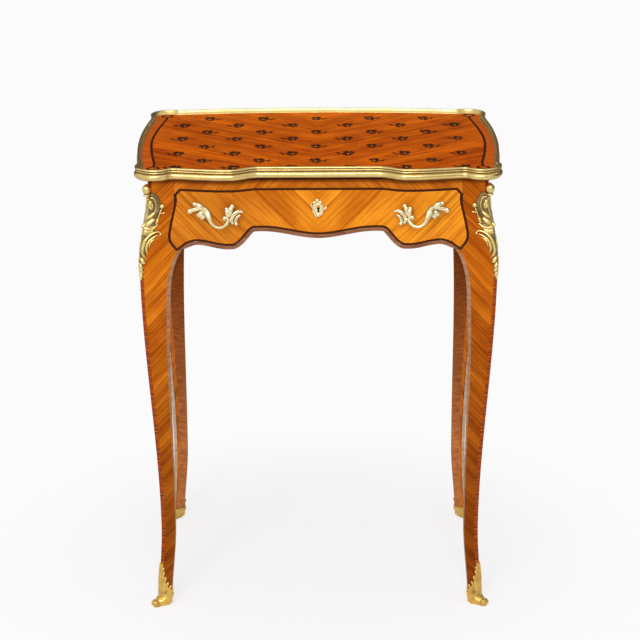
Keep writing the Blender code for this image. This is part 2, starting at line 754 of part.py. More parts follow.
def make_top(model):
    """The veneered board, and the brass rim round it in four corners and four lengths."""
    loop, joints = rim_outline()
    board = offset_loop(loop, -RIM_THICKNESS - GAP)
    model.add("top_board", slab("top_board", board, BOARD_BOTTOM, FIELD), "marquetry")
    lower = TABLE_HEIGHT - RIM_HEIGHT
    middle = lower + RIM_TORUS_HEIGHT / 2
    groove = lower + RIM_TORUS_HEIGHT
    bead_low = groove + RIM_GROOVE_HEIGHT
    bead = (TABLE_HEIGHT - bead_low) / 2
    profile = [(-RIM_THICKNESS, lower)]
    for angle in steps(-math.pi / 2, math.pi / 2, PROFILE_STEPS):
        out = RIM_TORUS_OUT * (math.cos(angle) - 1.0)
        profile.append((out, middle + RIM_TORUS_HEIGHT / 2 * math.sin(angle)))
    profile.append((-RIM_GROOVE_SETBACK - RIM_TORUS_OUT, groove + RIM_GROOVE_HEIGHT / 2))
    half = (RIM_THICKNESS - RIM_BEAD_SETBACK) / 2
    for angle in steps(0.0, math.pi, PROFILE_STEPS):
        out = -RIM_BEAD_SETBACK - half * (1.0 - math.cos(angle))
        profile.append((out, bead_low + bead * (1.0 + math.sin(angle))))
    rings = {out: offset_loop(loop, out) for out, _ in profile}
    for name, (first, last) in joints.items():
        sections = []
        for i in range(first, last + 1):
            pull = rim_pull(loop, i, first, last)
            points = [(rings[out][i % len(loop)], z) for out, z in profile]
            sections.append([Vector((p[0] + pull.x, p[1] + pull.y, z)) for p, z in points])
        model.add(name, loft(name, sections), "gilt_brass")


def rim_pull(loop, i, first, last):
    """How far an end of a length of rim is drawn back from the joint, along the rim."""
    towards = {first: 1, last: -1}.get(i, 0)
    here = Vector(loop[i % len(loop)])
    return (Vector(loop[(i + towards) % len(loop)]) - here).normalized() * GAP / 2


def tenon(half_length, inner, sign):
    """Corners of the tenon on one end of a frieze board, drawn with its face towards -Y."""
    top = FRAME_TOP - TENON_TOP_DROP
    near = Vector((sign * (half_length - APRON_THICKNESS / 2), -inner, top - TENON_HEIGHT))
    far = Vector((sign * (half_length + TENON_LENGTH), -inner - TENON_THICKNESS, top))
    return near, far


def ordered(first, second):
    """The low and the high corner of the block between two points."""
    low = Vector([min(a, b) for a, b in zip(first, second)])
    high = Vector([max(a, b) for a, b in zip(first, second)])
    return low, high


def frieze_boards():
    """Each frieze board's half length, face, edge, inner depth, turn, and the legs at its ends."""
    side_inner = frieze_side(STILE_Y) - APRON_THICKNESS
    back_inner = frieze_back(STILE_X) - APRON_THICKNESS
    return {
        "apron_right": (STILE_Y - GAP, frieze_side, side_edge, side_inner, 90, ("front_right", "back_right")),
        "apron_back": (STILE_X - GAP, frieze_back, back_edge, back_inner, 180, ("back_right", "back_left")),
        "apron_left": (STILE_Y - GAP, frieze_side, side_edge, side_inner, -90, ("back_left", "front_left")),
    }


def make_frieze(model, legs):
    """The side and back aprons, tenoned into the legs."""
    for name, (half, face, edge, inner, degrees, ends) in frieze_boards().items():
        turn = Matrix.Rotation(math.radians(degrees), 3, "Z")
        board = model.add(name, shaped_board(name, half, face, edge, inner, turn), "tulipwood")
        for sign, leg in zip((-1, 1), ends):
            near, far = tenon(half, inner + GAP, sign)
            model.cut_box(board, *ordered(turn @ near, turn @ far), "UNION")
            low, high = ordered(turn @ near, turn @ far)
            play = Vector((GAP, GAP, GAP))
            model.cut_box(legs[leg], low - play, high + play)


def dovetail_outline(sign, clearance):
    """The dovetail on one end of the front rail, seen from above, reaching back into the rail."""
    root = STILE_X - APRON_THICKNESS
    tip = STILE_X + DOVETAIL_LENGTH
    middle = -frieze_front(STILE_X) + DOVETAIL_SETBACK
    neck = DOVETAIL_NECK / 2
    tail = DOVETAIL_TAIL / 2
    outline = [
        (root, middle - neck),
        (STILE_X, middle - neck),
        (tip, middle - tail),
        (tip, middle + tail),
        (STILE_X, middle + neck),
        (root, middle + neck),
    ]
    return [(sign * x, y) for x, y in offset_loop(outline, clearance)]


def make_rail(model, legs):
    """The rail over the drawer, dovetailed into the tops of the front legs. The bolt shoots up behind it."""
    half = STILE_X - GAP
    front = [(x, -frieze_front(x)) for x in steps(-half, half, 2 * round(half / BOARD_STEP))]
    outline = front + [(half, -RAIL_BACK), (-half, -RAIL_BACK)]
    low = DRAWER_TOP - DRAWER_NOTCH_DROP + SLIVER
    rail = model.add("front_top_rail", slab("front_top_rail", outline, low, FRAME_TOP), "tulipwood")
    floor = RAIL_BOTTOM + DOVETAIL_FLOOR
    for sign, leg in ((1, "front_right"), (-1, "front_left")):
        model.boolean(rail, slab("rail_dovetail", dovetail_outline(sign, 0.0), floor, FRAME_TOP), "UNION")
        socket = slab("rail_socket", dovetail_outline(sign, GAP), floor - GAP, TABLE_HEIGHT)
        model.boolean(legs[leg], socket)
    opening = drawer_outline(DRAWER_CLEARANCE)
    model.boolean(rail, upright_slab("rail_opening", opening, -TABLE_HEIGHT, TABLE_HEIGHT))


CORNERS = {
    "front_left": (-1, -1),
    "front_right": (1, -1),
    "back_left": (-1, 1),
    "back_right": (1, 1),
}


def frieze_at(side_y):
    return frieze_front if side_y < 0 else frieze_back


def make_legs(model):
    """Four cabriole legs, lofted; the front ones are rebated for the drawer front."""
    legs = {}
    opening = drawer_outline(DRAWER_CLEARANCE)
    for corner, (side_x, side_y) in CORNERS.items():
        sections = [place(leg_section(z, frieze_at(side_y)), z, side_x, side_y) for z in leg_levels()]
        name = f"leg_{corner}"
        legs[corner] = model.add(name, loft(name, sections), "tulipwood")
        if side_y < 0:
            rebate = upright_slab("leg_rebate", opening, -TABLE_HEIGHT, -REBATE)
            model.boolean(legs[corner], rebate)
    return legs


def sabot_section(z, frieze):
    """The shoe's outer line at a height: the foot's section, thickened, and rolled out round at the toe."""
    level = max(z, FOOT_BOTTOM)
    swell = SABOT_SWELL * (1.0 - smooth(z / SABOT_HEIGHT))
    section = offset_loop(leg_section(level, frieze), SABOT_WALL + swell)
    toe = SABOT_TOE_OUT * math.sqrt(max(0.0, 1.0 - (z / SABOT_TOE_HEIGHT) ** 2))
    heel = min(x + y for x, y in section)
    length = max(x + y for x, y in section) - heel
    shares = [((x + y - heel) / length) ** SABOT_TOE_POWER for x, y in section]
    return [(x + toe * share, y + toe * share) for (x, y), share in zip(section, shares)]


def make_sabots(model):
    """Cast shoes: hollow for the foot, low on the inner side and rising to a tongue on the arris."""
    for corner, (side_x, side_y) in CORNERS.items():
        frieze = frieze_at(side_y)
        name = f"sabot_{corner}"
        levels = steps(0.0, SABOT_TOE_HEIGHT, TOE_STEPS)[:-1]
        levels += steps(SABOT_TOE_HEIGHT, SABOT_HEIGHT, SHOE_STEPS)
        shoe = [place(sabot_section(z, frieze), z, side_x, side_y) for z in levels]
        sabot = model.add(name, loft(name, shoe), "gilt_brass")
        foot = []
        for z in [SABOT_BASE, *foot_levels()[1:]]:
            hollow = offset_loop(leg_section(z, frieze), GAP)
            foot.append(place(hollow, z, side_x, side_y))
        model.boolean(sabot, loft("sabot_hollow", foot))
        model.boolean(sabot, sabot_trim(side_x, side_y))


def sabot_trim(side_x, side_y):
    """What is cut from the top of a shoe: a sweep that falls from the tongue to the inner side."""
    along = Vector((side_x, side_y, 0.0)).normalized()
    outer = (ARRIS_X + ARRIS_Y + 2 * arris_out(SABOT_HEIGHT) - ARRIS_CHAMFER) / math.sqrt(2.0)
    start = outer - FOOT_WIDTH
    curve = []
    for share in steps(0.0, 1.0, TRIM_STEPS):
        height = mix(SABOT_SIDE_HEIGHT, SABOT_HEIGHT + GAP, share**2)
        curve.append((mix(start, outer, share), height))
    lid = SABOT_HEIGHT + SABOT_SIDE_HEIGHT
    outline = [(0.0, lid), (0.0, SABOT_SIDE_HEIGHT), *curve]
    outline += [(outer + lid, SABOT_HEIGHT + GAP), (outer + lid, lid)]
    across = Vector((0.0, 0.0, 1.0)).cross(along)
    middle = across * across.dot(Vector((ARRIS_X * side_x, ARRIS_Y * side_y, 0.0)))
    sections = []
    for sign in (-1, 1):
        points = [middle + along * out + across * sign * FOOT_WIDTH * 3 for out, _ in outline]
        sections.append([Vector((p.x, p.y, height)) for p, (_, height) in zip(points, outline)])
    return loft("sabot_trim", sections)


def chute_lobes(z):
    """Reach along the leg's faces and relief of the corner mount at a height: the fullest of its lobes."""
    reach, relief = CHUTE_MARGIN, CHUTE_EDGE
    for drop, half_height, lobe_reach, lobe_relief in CHUTE_LOBES.values():
        away = (CHUTE_TOP - drop - z) / half_height
        swell = max(0.0, 1.0 - away * away)
        reach = max(reach, CHUTE_MARGIN + lobe_reach * swell)
        relief = max(relief, lobe_relief * swell)
    return reach, relief


def chute_section(z, frieze):
    """The corner mount cut level at a height: a folded leaf on the arris, thickest along it."""
    loop = [Vector(p) for p in offset_loop(leg_section(z, frieze), CHUTE_SEAT)]
    front_end, arris_front = loop[0], loop[FACE_STEPS]
    arris_side, side_end = loop[FACE_STEPS + 1], loop[2 * FACE_STEPS + 1]
    reach, relief = chute_lobes(z)
    inner, outer = [], []
    for start, end, shares in (
        (arris_front, front_end, (1.0, 0.6, 0.25, 0.0)),
        (arris_side, side_end, (0.0, 0.25, 0.6, 1.0)),
    ):
        along = (end - start).normalized()
        normal = Vector((-along.y, along.x))
        normal *= math.copysign(1.0, normal.x + normal.y)
        diagonal = Vector((1.0, 1.0)).normalized()
        for share in shares:
            point = start + along * reach * share
            rise = CHUTE_EDGE + relief * (1.0 - share * share)
            inner.append(point)
            outer.append(point + normal.lerp(diagonal, 1.0 - share).normalized() * rise)
    return [tuple(p) for p in outer + inner[::-1]]


def make_chutes(model):
    """Cast corner mounts that follow the swelling arris of each leg."""
    for corner, (side_x, side_y) in CORNERS.items():
        frieze = frieze_at(side_y)
        name = f"chute_{corner}"
        sections = [place(chute_section(z, frieze), z, side_x, side_y) for z in chute_levels()]
        model.add(name, loft(name, sections), "gilt_brass")


def make_runners(model):
    """On each side: a runner, a guide on it, a kicker above the drawer and a stop behind it."""
    wall = frieze_side(STILE_Y) - APRON_THICKNESS - GAP
    end = STILE_Y - GAP
    inner = SIDE_OUTER - RUNNER_BEARING
    guide = SIDE_OUTER + RUNNING_CLEARANCE
    stop = SIDE_OUTER - STOP_WIDTH
    runner_low = RUNNER_TOP - RUNNER_HEIGHT
    guide_low = RUNNER_TOP + GAP
    guide_top = guide_low + GUIDE_HEIGHT
    stop_top = DRAWER_FLOOR + STOP_HEIGHT
    rear = drawer_rear() + GAP
    blocks = {
        "drawer_runner": ((inner, -end, runner_low), (wall, end, RUNNER_TOP)),
        "drawer_guide": ((guide, -end, guide_low), (wall, end, guide_top)),
        "drawer_kicker": ((inner, -end, KICKER_BOTTOM), (wall, end, FRAME_TOP)),
        "drawer_stop": ((stop, rear, DRAWER_FLOOR), (SIDE_OUTER, back_wall(), stop_top)),
    }
    for side, sign in (("left", -1), ("right", 1)):
        for name, (low, high) in blocks.items():
            low_corner, high_corner = ordered((sign * low[0], *low[1:]), (sign * high[0], *high[1:]))
            model.box(f"{name}_{side}", low_corner, high_corner, "oak")


def tongue_outline(sign, clearance):
    """The flared tongue on the front end of a drawer side, seen from above, with a root inside the side."""
    middle = (SIDE_OUTER + SIDE_INNER) / 2
    half = DRAWER_SIDE_THICKNESS / 2
    neck = DRAWER_TAIL_NECK / 2
    face = -FRONT_BACK_FACE
    root = face + DRAWER_TAIL_LENGTH
    tip = face - DRAWER_TAIL_LENGTH
    outline = [
        (middle - neck, root),
        (middle - neck, face),
        (middle - half, tip),
        (middle + half, tip),
        (middle + neck, face),
        (middle + neck, root),
    ]
    return [(sign * x, y) for x, y in offset_loop(outline, clearance)]


def make_drawer(model):
    """The drawer: a shaped front, sides tongued into it, a back let into them and a bottom in grooves."""
    drawer = model.drawer
    front = make_drawer_front(model)
    rear = drawer_rear()
    back_face = rear - DRAWER_BACK_SETBACK
    panel_half = SIDE_INNER + DRAWER_GROOVE - GAP
    housing = SIDE_INNER + DRAWER_HOUSING
    back_low = (-housing + GAP, back_face - DRAWER_BACK_THICKNESS, PANEL_TOP + GAP)
    back_high = (housing - GAP, back_face, DRAWER_SIDE_TOP)
    model.box("drawer_back", back_low, back_high, "oak", drawer)
    panel_front = -FRONT_BACK_FACE - DRAWER_GROOVE + GAP
    model.box(
        "drawer_bottom",
        (-panel_half, panel_front, PANEL_BOTTOM),
        (panel_half, rear, PANEL_TOP),
        "oak",
        drawer,
    )
    groove = SIDE_INNER + DRAWER_GROOVE
    low, high = PANEL_BOTTOM - GAP, PANEL_TOP + GAP
    model.cut_box(
        front,
        (-groove, -FRONT_BACK_FACE - DRAWER_GROOVE, low),
        (groove, -FRONT_BACK_FACE + DRAWER_GROOVE, high),
    )
    for side, sign in (("left", -1), ("right", 1)):
        shoulder = (sign * SIDE_INNER, -FRONT_BACK_FACE + GAP, DRAWER_FLOOR)
        end = (sign * SIDE_OUTER, rear, DRAWER_SIDE_TOP)
        piece = model.box(f"drawer_side_{side}", *ordered(shoulder, end), "oak", drawer)
        tongue_low, tongue_top = DRAWER_FLOOR + SLIVER, DRAWER_SIDE_TOP - SLIVER
        tongue = slab("side_tongue", tongue_outline(sign, 0.0), tongue_low, tongue_top)
        model.boolean(piece, tongue, "UNION")
        housing_top = DRAWER_SIDE_TOP + GAP
        model.boolean(front, slab("front_housing", tongue_outline(sign, GAP), KNEE, housing_top))
        inner = sign * (SIDE_INNER - DRAWER_GROOVE)
        depth = -FRONT_BACK_FACE - DRAWER_TAIL_LENGTH - DRAWER_GROOVE
        model.cut_box(piece, *ordered((inner, depth, low), (sign * groove, rear + DRAWER_GROOVE, high)))
        near = (inner, back_low[1] - GAP, PANEL_TOP)
        far = (sign * housing, back_high[1] + GAP, DRAWER_SIDE_TOP + DRAWER_GROOVE)
        model.cut_box(piece, *ordered(near, far))


def make_drawer_front(model):
    """The serpentine front: lofted across its width, then trimmed to its notched and S-curved ends."""
    half = DRAWER_SWELL_AT + DRAWER_CLEARANCE
    slope = (EDGE_END_DROP - EDGE_SHOULDER_DROP) / (EDGE_END_AT - EDGE_SHOULDER_END)

    def lower_edge(x):
        return front_edge(x) - slope * max(abs(x) - EDGE_END_AT, 0.0)

    mesh = shaped_board("drawer_front", half, frieze_front, lower_edge, FRONT_BACK_FACE, Matrix.Identity(3))
    mesh.transform(Matrix.Translation(-model.drawer.location))
    front = model.add("drawer_front", mesh, "tulipwood", model.drawer, model.drawer.location)
    outline = drawer_outline(0.0)
    model.boolean(front, upright_slab("front_outline", outline, -TABLE_HEIGHT, TABLE_HEIGHT), "INTERSECT")
    return front


def handle_path():
    """The handle's stem in its own frame: X along the drawer, Y towards the drawer, Z up."""
    left, right = Vector(HANDLE_INNER_POST), Vector(HANDLE_OUTER_POST)
    out = HANDLE_PROJECTION - HANDLE_STEM_RADIUS
    knots = [(left.x, -HANDLE_LEAF_LIFT, left.y)]
    for along, projection, height in HANDLE_STEM:
        knots.append((mix(left.x, right.x, along), -out * projection, left.y + height))
    knots.append((right.x, -HANDLE_LEAF_LIFT, right.y))
    return spline(knots, STEM_STEPS)


def handle_leaf(post, reach, rise, bend):
    """A cast leaf at an end of the stem: its start, middle and tip, and the radius at each."""
    lift = -HANDLE_LEAF_LIFT
    way = Vector((reach, lift / 4, rise))
    start = Vector((post[0], lift, post[1])) - way * HANDLE_LEAF_ROOT
    tip = start + way * (1.0 + HANDLE_LEAF_ROOT)
    middle = start.lerp(tip, 0.55) + Vector((0.0, lift / 2, bend))
    return [start, middle, tip], [HANDLE_LEAF_RADIUS, HANDLE_LEAF_RADIUS, HANDLE_TIP_RADIUS]


def make_handles(model):
    """Two scroll pulls on the lobes of the front, mirrored, each with two studs and square nuts behind."""
    drawer = model.drawer
    front = bpy.data.objects["drawer_front"]
    stem = handle_path()
    ends = len(stem) - 1
    radii = [HANDLE_STEM_RADIUS * (1.25 - 0.45 * math.sin(math.pi * i / ends)) for i in range(ends + 1)]
    for side, sign in (("left", -1), ("right", 1)):
        origin = Vector((sign * HANDLE_AT, -handle_face(), DRAWER_TOP - HANDLE_BELOW_TOP))
        mirror = Matrix.Diagonal((sign, 1.0, 1.0))
        name = f"handle_{side}"
        points = [mirror @ p for p in stem]
        handle = model.add(name, tube(name, points, radii), "gilt_brass", drawer, origin)
        for leaf in HANDLE_LEAVES:
            path, sizes = handle_leaf(*leaf)
            points = [mirror @ p + origin for p in path]
            model.boolean(handle, tube("handle_leaf", points, sizes), "UNION")
        for place_name, post in (("inner", HANDLE_INNER_POST), ("outer", HANDLE_OUTER_POST)):
            x = origin.x + sign * post[0]
            z = origin.z + post[1]
            face = -frieze_front(x) - GAP * 3
            top = origin.y - HANDLE_LEAF_LIFT - HANDLE_STEM_RADIUS / 3
            post_radii = [HANDLE_POST_RADIUS, HANDLE_POST_RADIUS]
            model.boolean(handle, tube("handle_post", [(x, top, z), (x, face, z)], post_radii), "UNION")
            nut_back = -FRONT_BACK_FACE + GAP + NUT_THICKNESS
            tip = nut_back + STUD_PROUD
            stud = [HANDLE_STUD_RADIUS, HANDLE_STUD_RADIUS]
            root = face - HANDLE_STEM_RADIUS / 2
            model.boolean(handle, tube("handle_stud", [(x, root, z), (x, tip, z)], stud), "UNION")
            hole = [HANDLE_STUD_RADIUS + GAP * 2, HANDLE_STUD_RADIUS + GAP * 2]
            bore = [(x, face - NUT_WIDTH, z), (x, tip + NUT_WIDTH, z)]
            model.boolean(front, tube("stud_hole", bore, hole))
            half = NUT_WIDTH / 2
            low = (x - half, -FRONT_BACK_FACE + GAP, z - half)
            high = (x + half, nut_back, z + half)
            nut = model.box(f"handle_nut_{side}_{place_name}", low, high, "gilt_brass", drawer)
            model.boolean(nut, tube("nut_hole", bore, hole))


def handle_face():
    """Depth of the highest part of the front behind a handle, where its own frame starts."""
    posts = (HANDLE_INNER_POST[0], HANDLE_OUTER_POST[0])
    return max(frieze_front(HANDLE_AT + x) for x in (*posts, 0.0))


def bolt_depth():
    """Depth of the middle of the lock's bolt, behind the drawer front."""
    return FRONT_BACK_FACE - GAP - LOCK_FRONT - BOLT_THICKNESS / 2


def keyhole_outline(x, z):
    """A round hole over a narrow slot, in X and Z."""
    slot = math.asin(KEYHOLE_SLOT / 2 / KEYHOLE_RADIUS)
    start = -math.pi / 2 + slot
    hole = arc((x, z), KEYHOLE_RADIUS, start, 3 * math.pi / 2 - slot, KEYHOLE_STEPS)
    return hole + [(x - KEYHOLE_SLOT / 2, z - KEYHOLE_DROP), (x + KEYHOLE_SLOT / 2, z - KEYHOLE_DROP)]


def make_lock(model):
    """The escutcheon, and behind the front a lock case whose bolt shoots up behind the rail."""
    drawer = model.drawer
    front = bpy.data.objects["drawer_front"]
    z = DRAWER_TOP - LOCK_BELOW_TOP
    face = -frieze_front(0.0)
    outline = []
    for angle in steps(0.0, 2 * math.pi, ESCUTCHEON_STEPS)[:-1]:
        lobe = 1.0 + ESCUTCHEON_LOBE * math.cos(5 * angle + math.pi / 2)
        reach_x = ESCUTCHEON_WIDTH / 2 * lobe / (1.0 + ESCUTCHEON_LOBE)
        reach_z = ESCUTCHEON_HEIGHT / 2 * lobe / (1.0 + ESCUTCHEON_LOBE)
        outline.append((reach_x * math.cos(angle), z + reach_z * math.sin(angle)))
    outer = face - GAP - ESCUTCHEON_THICKNESS
    mesh = upright_slab("escutcheon", outline, outer, face - GAP)
    mesh.transform(Matrix.Translation((0.0, -face, -z)))
    plate = model.add("escutcheon", mesh, "gilt_brass", drawer, (0.0, face, z))
    back = -FRONT_BACK_FACE + GAP
    keyhole = upright_slab("keyhole", keyhole_outline(0.0, z), -EAR_HALF_DEPTH, back + LOCK_KEY_DEPTH)
    model.boolean(plate, keyhole)
    model.boolean(front, keyhole.copy())
    half = LOCK_WIDTH / 2
    case = model.box(
        "lock_case",
        (-half, back, DRAWER_TOP - GAP - LOCK_HEIGHT),
        (half, back + LOCK_DEPTH, DRAWER_TOP - GAP),
        "steel",
        drawer,
    )
    model.boolean(case, keyhole.copy())
    middle = -bolt_depth()
    bolt_low = (-BOLT_WIDTH / 2, middle - BOLT_THICKNESS / 2, DRAWER_TOP - GAP - BOLT_HEIGHT)
    bolt_high = (BOLT_WIDTH / 2, middle + BOLT_THICKNESS / 2, DRAWER_TOP - GAP)
    play = Vector((GAP, GAP, GAP))
    channel_high = Vector(bolt_high) + play + Vector((0.0, 0.0, BOLT_HEIGHT))
    model.cut_box(case, Vector(bolt_low) - play, channel_high)
    model.box("lock_bolt", bolt_low, bolt_high, "steel", model.bolt)


def main():
    model = Model()
    make_top(model)
    legs = make_legs(model)
    make_frieze(model, legs)
    make_rail(model, legs)
    make_sabots(model)
    make_chutes(model)
    make_runners(model)
    make_drawer(model)
    make_handles(model)
    make_lock(model)


main()
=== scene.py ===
"""Side table: veneered surfaces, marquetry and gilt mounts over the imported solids, and a plain studio.

Laid out as a Blender add-on and run as a script. Metres, +Z up, the front faces -Y. A surface is a grid of
points worked out with numpy from the same curves as the solids, so each piece lies where its solid lies.
"""

import math

import bmesh
import bpy
import numpy as np
from mathutils import Matrix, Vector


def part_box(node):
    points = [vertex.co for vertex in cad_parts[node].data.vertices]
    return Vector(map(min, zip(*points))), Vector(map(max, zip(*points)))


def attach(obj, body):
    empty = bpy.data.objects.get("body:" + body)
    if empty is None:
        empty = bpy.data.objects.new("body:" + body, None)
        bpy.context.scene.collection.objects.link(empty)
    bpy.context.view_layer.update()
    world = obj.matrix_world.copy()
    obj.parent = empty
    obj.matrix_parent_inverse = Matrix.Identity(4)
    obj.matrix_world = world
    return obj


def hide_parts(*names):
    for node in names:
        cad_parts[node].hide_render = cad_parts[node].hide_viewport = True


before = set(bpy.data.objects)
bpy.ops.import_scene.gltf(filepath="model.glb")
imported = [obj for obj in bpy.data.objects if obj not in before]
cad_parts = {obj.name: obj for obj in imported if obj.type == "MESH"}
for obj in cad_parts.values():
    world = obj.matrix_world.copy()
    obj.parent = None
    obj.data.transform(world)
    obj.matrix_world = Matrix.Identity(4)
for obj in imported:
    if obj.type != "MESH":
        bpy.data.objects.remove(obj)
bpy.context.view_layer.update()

bl_info = {
    "name": "Side table dressing",
    "version": (1, 0, 0),
    "blender": (4, 5, 0),
    "location": "3D View > Sidebar > Side table",
    "description": "Veneers, marquetry and gilt mounts for the side table",
    "category": "Object",
}

# Plan of the top and its rim
GAP = 0.0003
EAR_X, EAR_Y, EAR_RADIUS, EAR_FILLET = 0.247, 0.167, 0.032, 0.010
HALF_WIDTH, HALF_DEPTH = 0.279, 0.199
TABLE_HEIGHT, RIM_HEIGHT, RIM_THICKNESS = 0.730, 0.018, 0.007
FIELD, BOARD_BOTTOM = 0.7235, 0.7087
TOP_LINE_OUT, TOP_LINE_BOW, TOP_LINE_IN = 0.2640, 0.0131, 0.2503
TOP_LINE_MIDDLE, TOP_LINE_REACH, TOP_LINE_POWER = 0.010, 0.138, 1.6

# Heights of the frame
FRAME_TOP, RAIL_BOTTOM, DRAWER_TOP = 0.7084, 0.6950, 0.6944
BRACKET, KNEE, FLARE, ANKLE = 0.6012, 0.5774, 0.5197, 0.133
BULGE_TOP, FOOT_BOTTOM, APRON_END = 0.6994, 0.0033, 0.6015

# Legs
ARRIS_X, ARRIS_Y, STILE_X, STILE_Y = 0.258, 0.176, 0.2188, 0.1368
KNEE_OUT, ANKLE_IN, FOOT_OUT = 0.015, 0.005, 0.0015
STILE_WIDTH, THIGH_WIDTH, ANKLE_WIDTH, FOOT_WIDTH = 0.0392, 0.039, 0.0222, 0.0195
BRACKET_REACH, TAPER_POWER, STILE_INNER_FACE = 0.030, 1.6, 0.030
ARRIS_CHAMFER, ARRIS_SWELL, FACE_TILT = 0.004, 0.00045, 0.001
BEVEL_IN, FRONT_BEVEL_IN, ANKLE_BEVEL_IN, BEVEL_BACK = 0.0045, 0.0058, 0.0012, 0.006
DIAGONAL = np.array([0.7071, 0.7071])

# Frieze and drawer front
CREST, BRACKET_START, BRACKET_RUN, BRACKET_DROP = 0.085, 0.184, 0.028, 0.009
FRONT_BACK_FACE, REBATE, RAIL_BACK = 0.152, 0.1514, 0.1505
RAIL_NOTCH, RAIL_SLOPE, LINE_TOP = 0.2106, 1.105, 0.7035
APRON_THICKNESS, DRAWER_CLEARANCE = 0.012, 0.0006

# Inlays and mounts
INLAY_LIFT, INLAY_DEPTH, LINE_LIFT, LINE_DEPTH = 0.00008, 0.0004, 0.00009, 0.0005
LOCK_HEIGHT, HANDLE_FACE, ESCUTCHEON_FACE = 0.6614, 0.184, 0.172
CHUTE_TOP, CHUTE_LIFT, BUD_HEIGHT = 0.704, 0.0004, 0.692
VEIN_WIDTH, CAST_ANGLE = 0.22, 70.0
MM = 1000.0

CORNERS = {
    "front_left": (-1, -1),
    "front_right": (1, -1),
    "back_left": (-1, 1),
    "back_right": (1, 1),
}


def paint(red, green, blue):
    """A colour as a painter reads it, 0 to 255, turned into the linear values that a shader takes."""
    share = np.array([red, green, blue]) / 255.0
    linear = np.where(share <= 0.04045, share / 12.92, ((share + 0.055) / 1.055) ** 2.4)
    return tuple(float(v) for v in linear)


def smooth(value):
    """Eased step: three squares less two cubes of the value held between 0 and 1."""
    value = np.clip(value, 0.0, 1.0)
    return value * value * (3.0 - 2.0 * value)


def mix(first, second, share):
    """The first moved towards the second by a share of the way."""
    return first + (second - first) * share


def shares(count):
    """Even shares of a length, from 0 to 1."""
    return np.linspace(0.0, 1.0, count)


def turns(count):
    """Even angles once round a circle."""
    return np.linspace(0.0, 2 * math.pi, count, endpoint=False)


def unit(vectors):
    """Vectors divided by their lengths."""
    return vectors / np.linalg.norm(vectors, axis=-1, keepdims=True)


def join(*parts):
    """Coordinates side by side as points, each first stretched to the shape of all."""
    return np.stack(np.broadcast_arrays(*parts), axis=-1)


def at_height(plan, z):
    """Plan points with a height."""
    return join(plan[..., 0], plan[..., 1], z)


def spline(points, count):
    """Smooth curve through points: a cubic blend of each span's ends and of half the chords beside it."""
    points = np.asarray(points, float)
    padded = np.vstack([points[:1], points, points[-1:]])
    share = np.linspace(0.0, 1.0, count, endpoint=False)[None, :, None]
    before, start, end, after = padded[:-3, None], padded[1:-2, None], padded[2:-1, None], padded[3:, None]
    near = (end - before) / 2 * share * (1 - share) ** 2
    far = (after - start) / 2 * share**2 * (share - 1)
    spans = mix(start, end, smooth(share)) + near + far
    return np.vstack([spans.reshape(-1, points.shape[1]), points[-1:]])


def even(path, count):
    """The same path in count points, evenly spaced along its length."""
    step = np.linalg.norm(np.diff(path, axis=0), axis=1)
    along = np.concatenate([[0.0], np.cumsum(step)]) / step.sum()
    return join(*(np.interp(shares(count), along, column) for column in path.T))


def outward(loop):
    """Mitred outward direction at each point of a closed outline: the sum of both edge normals over 1 + cos."""
    after = np.roll(loop, -1, axis=-2)
    ahead = unit(after - loop)
    behind = np.roll(ahead, 1, axis=-2)
    total = ahead + behind
    turn = 1.0 + (ahead * behind).sum(-1, keepdims=True)
    normal = join(total[..., 1], -total[..., 0]) / turn
    area = (loop[..., 0] * after[..., 1] - after[..., 0] * loop[..., 1]).sum(-1)
    return normal * np.sign(area)[..., None, None]


# Curves of the solids


def serpentine(x, recess, lobe, end):
    """Depth of the front: hollow within 90 mm of the middle, full over the lobes, falling to the legs."""
    rise = smooth((np.abs(x) - 0.090) / 0.042)
    fall = smooth((np.abs(x) - 0.142) / 0.093)
    return recess + (lobe - recess) * rise - (lobe - end) * fall


def rim_front(x):
    """Front of the rim: a serpentine about half the depth."""
    return HALF_DEPTH + serpentine(x, -0.0175, 0.0003, -0.012)


def rim_back(x):
    """Back of the rim: a parabola that is fullest in the middle."""
    return HALF_DEPTH + mix(0.0105, -0.006, (x / EAR_X) ** 2)


def rim_side(y):
    """Side of the rim: a parabola that is fullest in the middle."""
    return HALF_WIDTH + mix(0.0055, -0.0075, (y / EAR_Y) ** 2)


def frieze_front(x):
    """Face of the drawer and rail: a flatter serpentine, set back under the rim."""
    return HALF_DEPTH + serpentine(x, -0.027, -0.015, -0.0265)


def frieze_back(x):
    """Face of the back apron: the rim's curve, set in."""
    return rim_back(x) - 0.0185


def frieze_side(y):
    """Face of a side apron: the rim's curve, set in."""
    return rim_side(y) - 0.0175


def front_edge(x):
    """Height of the shaped lower edge: a hollow tongue, a crest at 85 mm, a lobe, a shoulder and the bracket."""
    x = np.abs(x)
    drop = mix(0.0942, 0.0832, smooth(x / CREST))
    drop = drop + 0.025 * smooth(np.clip((x - 0.0985) / 0.0335, 0.0, 1.0) ** 0.66)
    drop = drop - 0.006 * smooth((x - 0.138) / 0.046)
    drop = drop + BRACKET_DROP * smooth((x - BRACKET_START) / BRACKET_RUN)
    return FRAME_TOP - drop


def drawer_edge(x):
    """The same edge on the drawer, carried on at a slope past the bracket."""
    past = np.maximum(np.abs(x) - (BRACKET_START + BRACKET_RUN), 0.0)
    return front_edge(x) - BRACKET_DROP / BRACKET_RUN * past


def back_edge(x):
    """The same edge on the back, level over the brackets."""
    return np.maximum(front_edge(x), APRON_END)


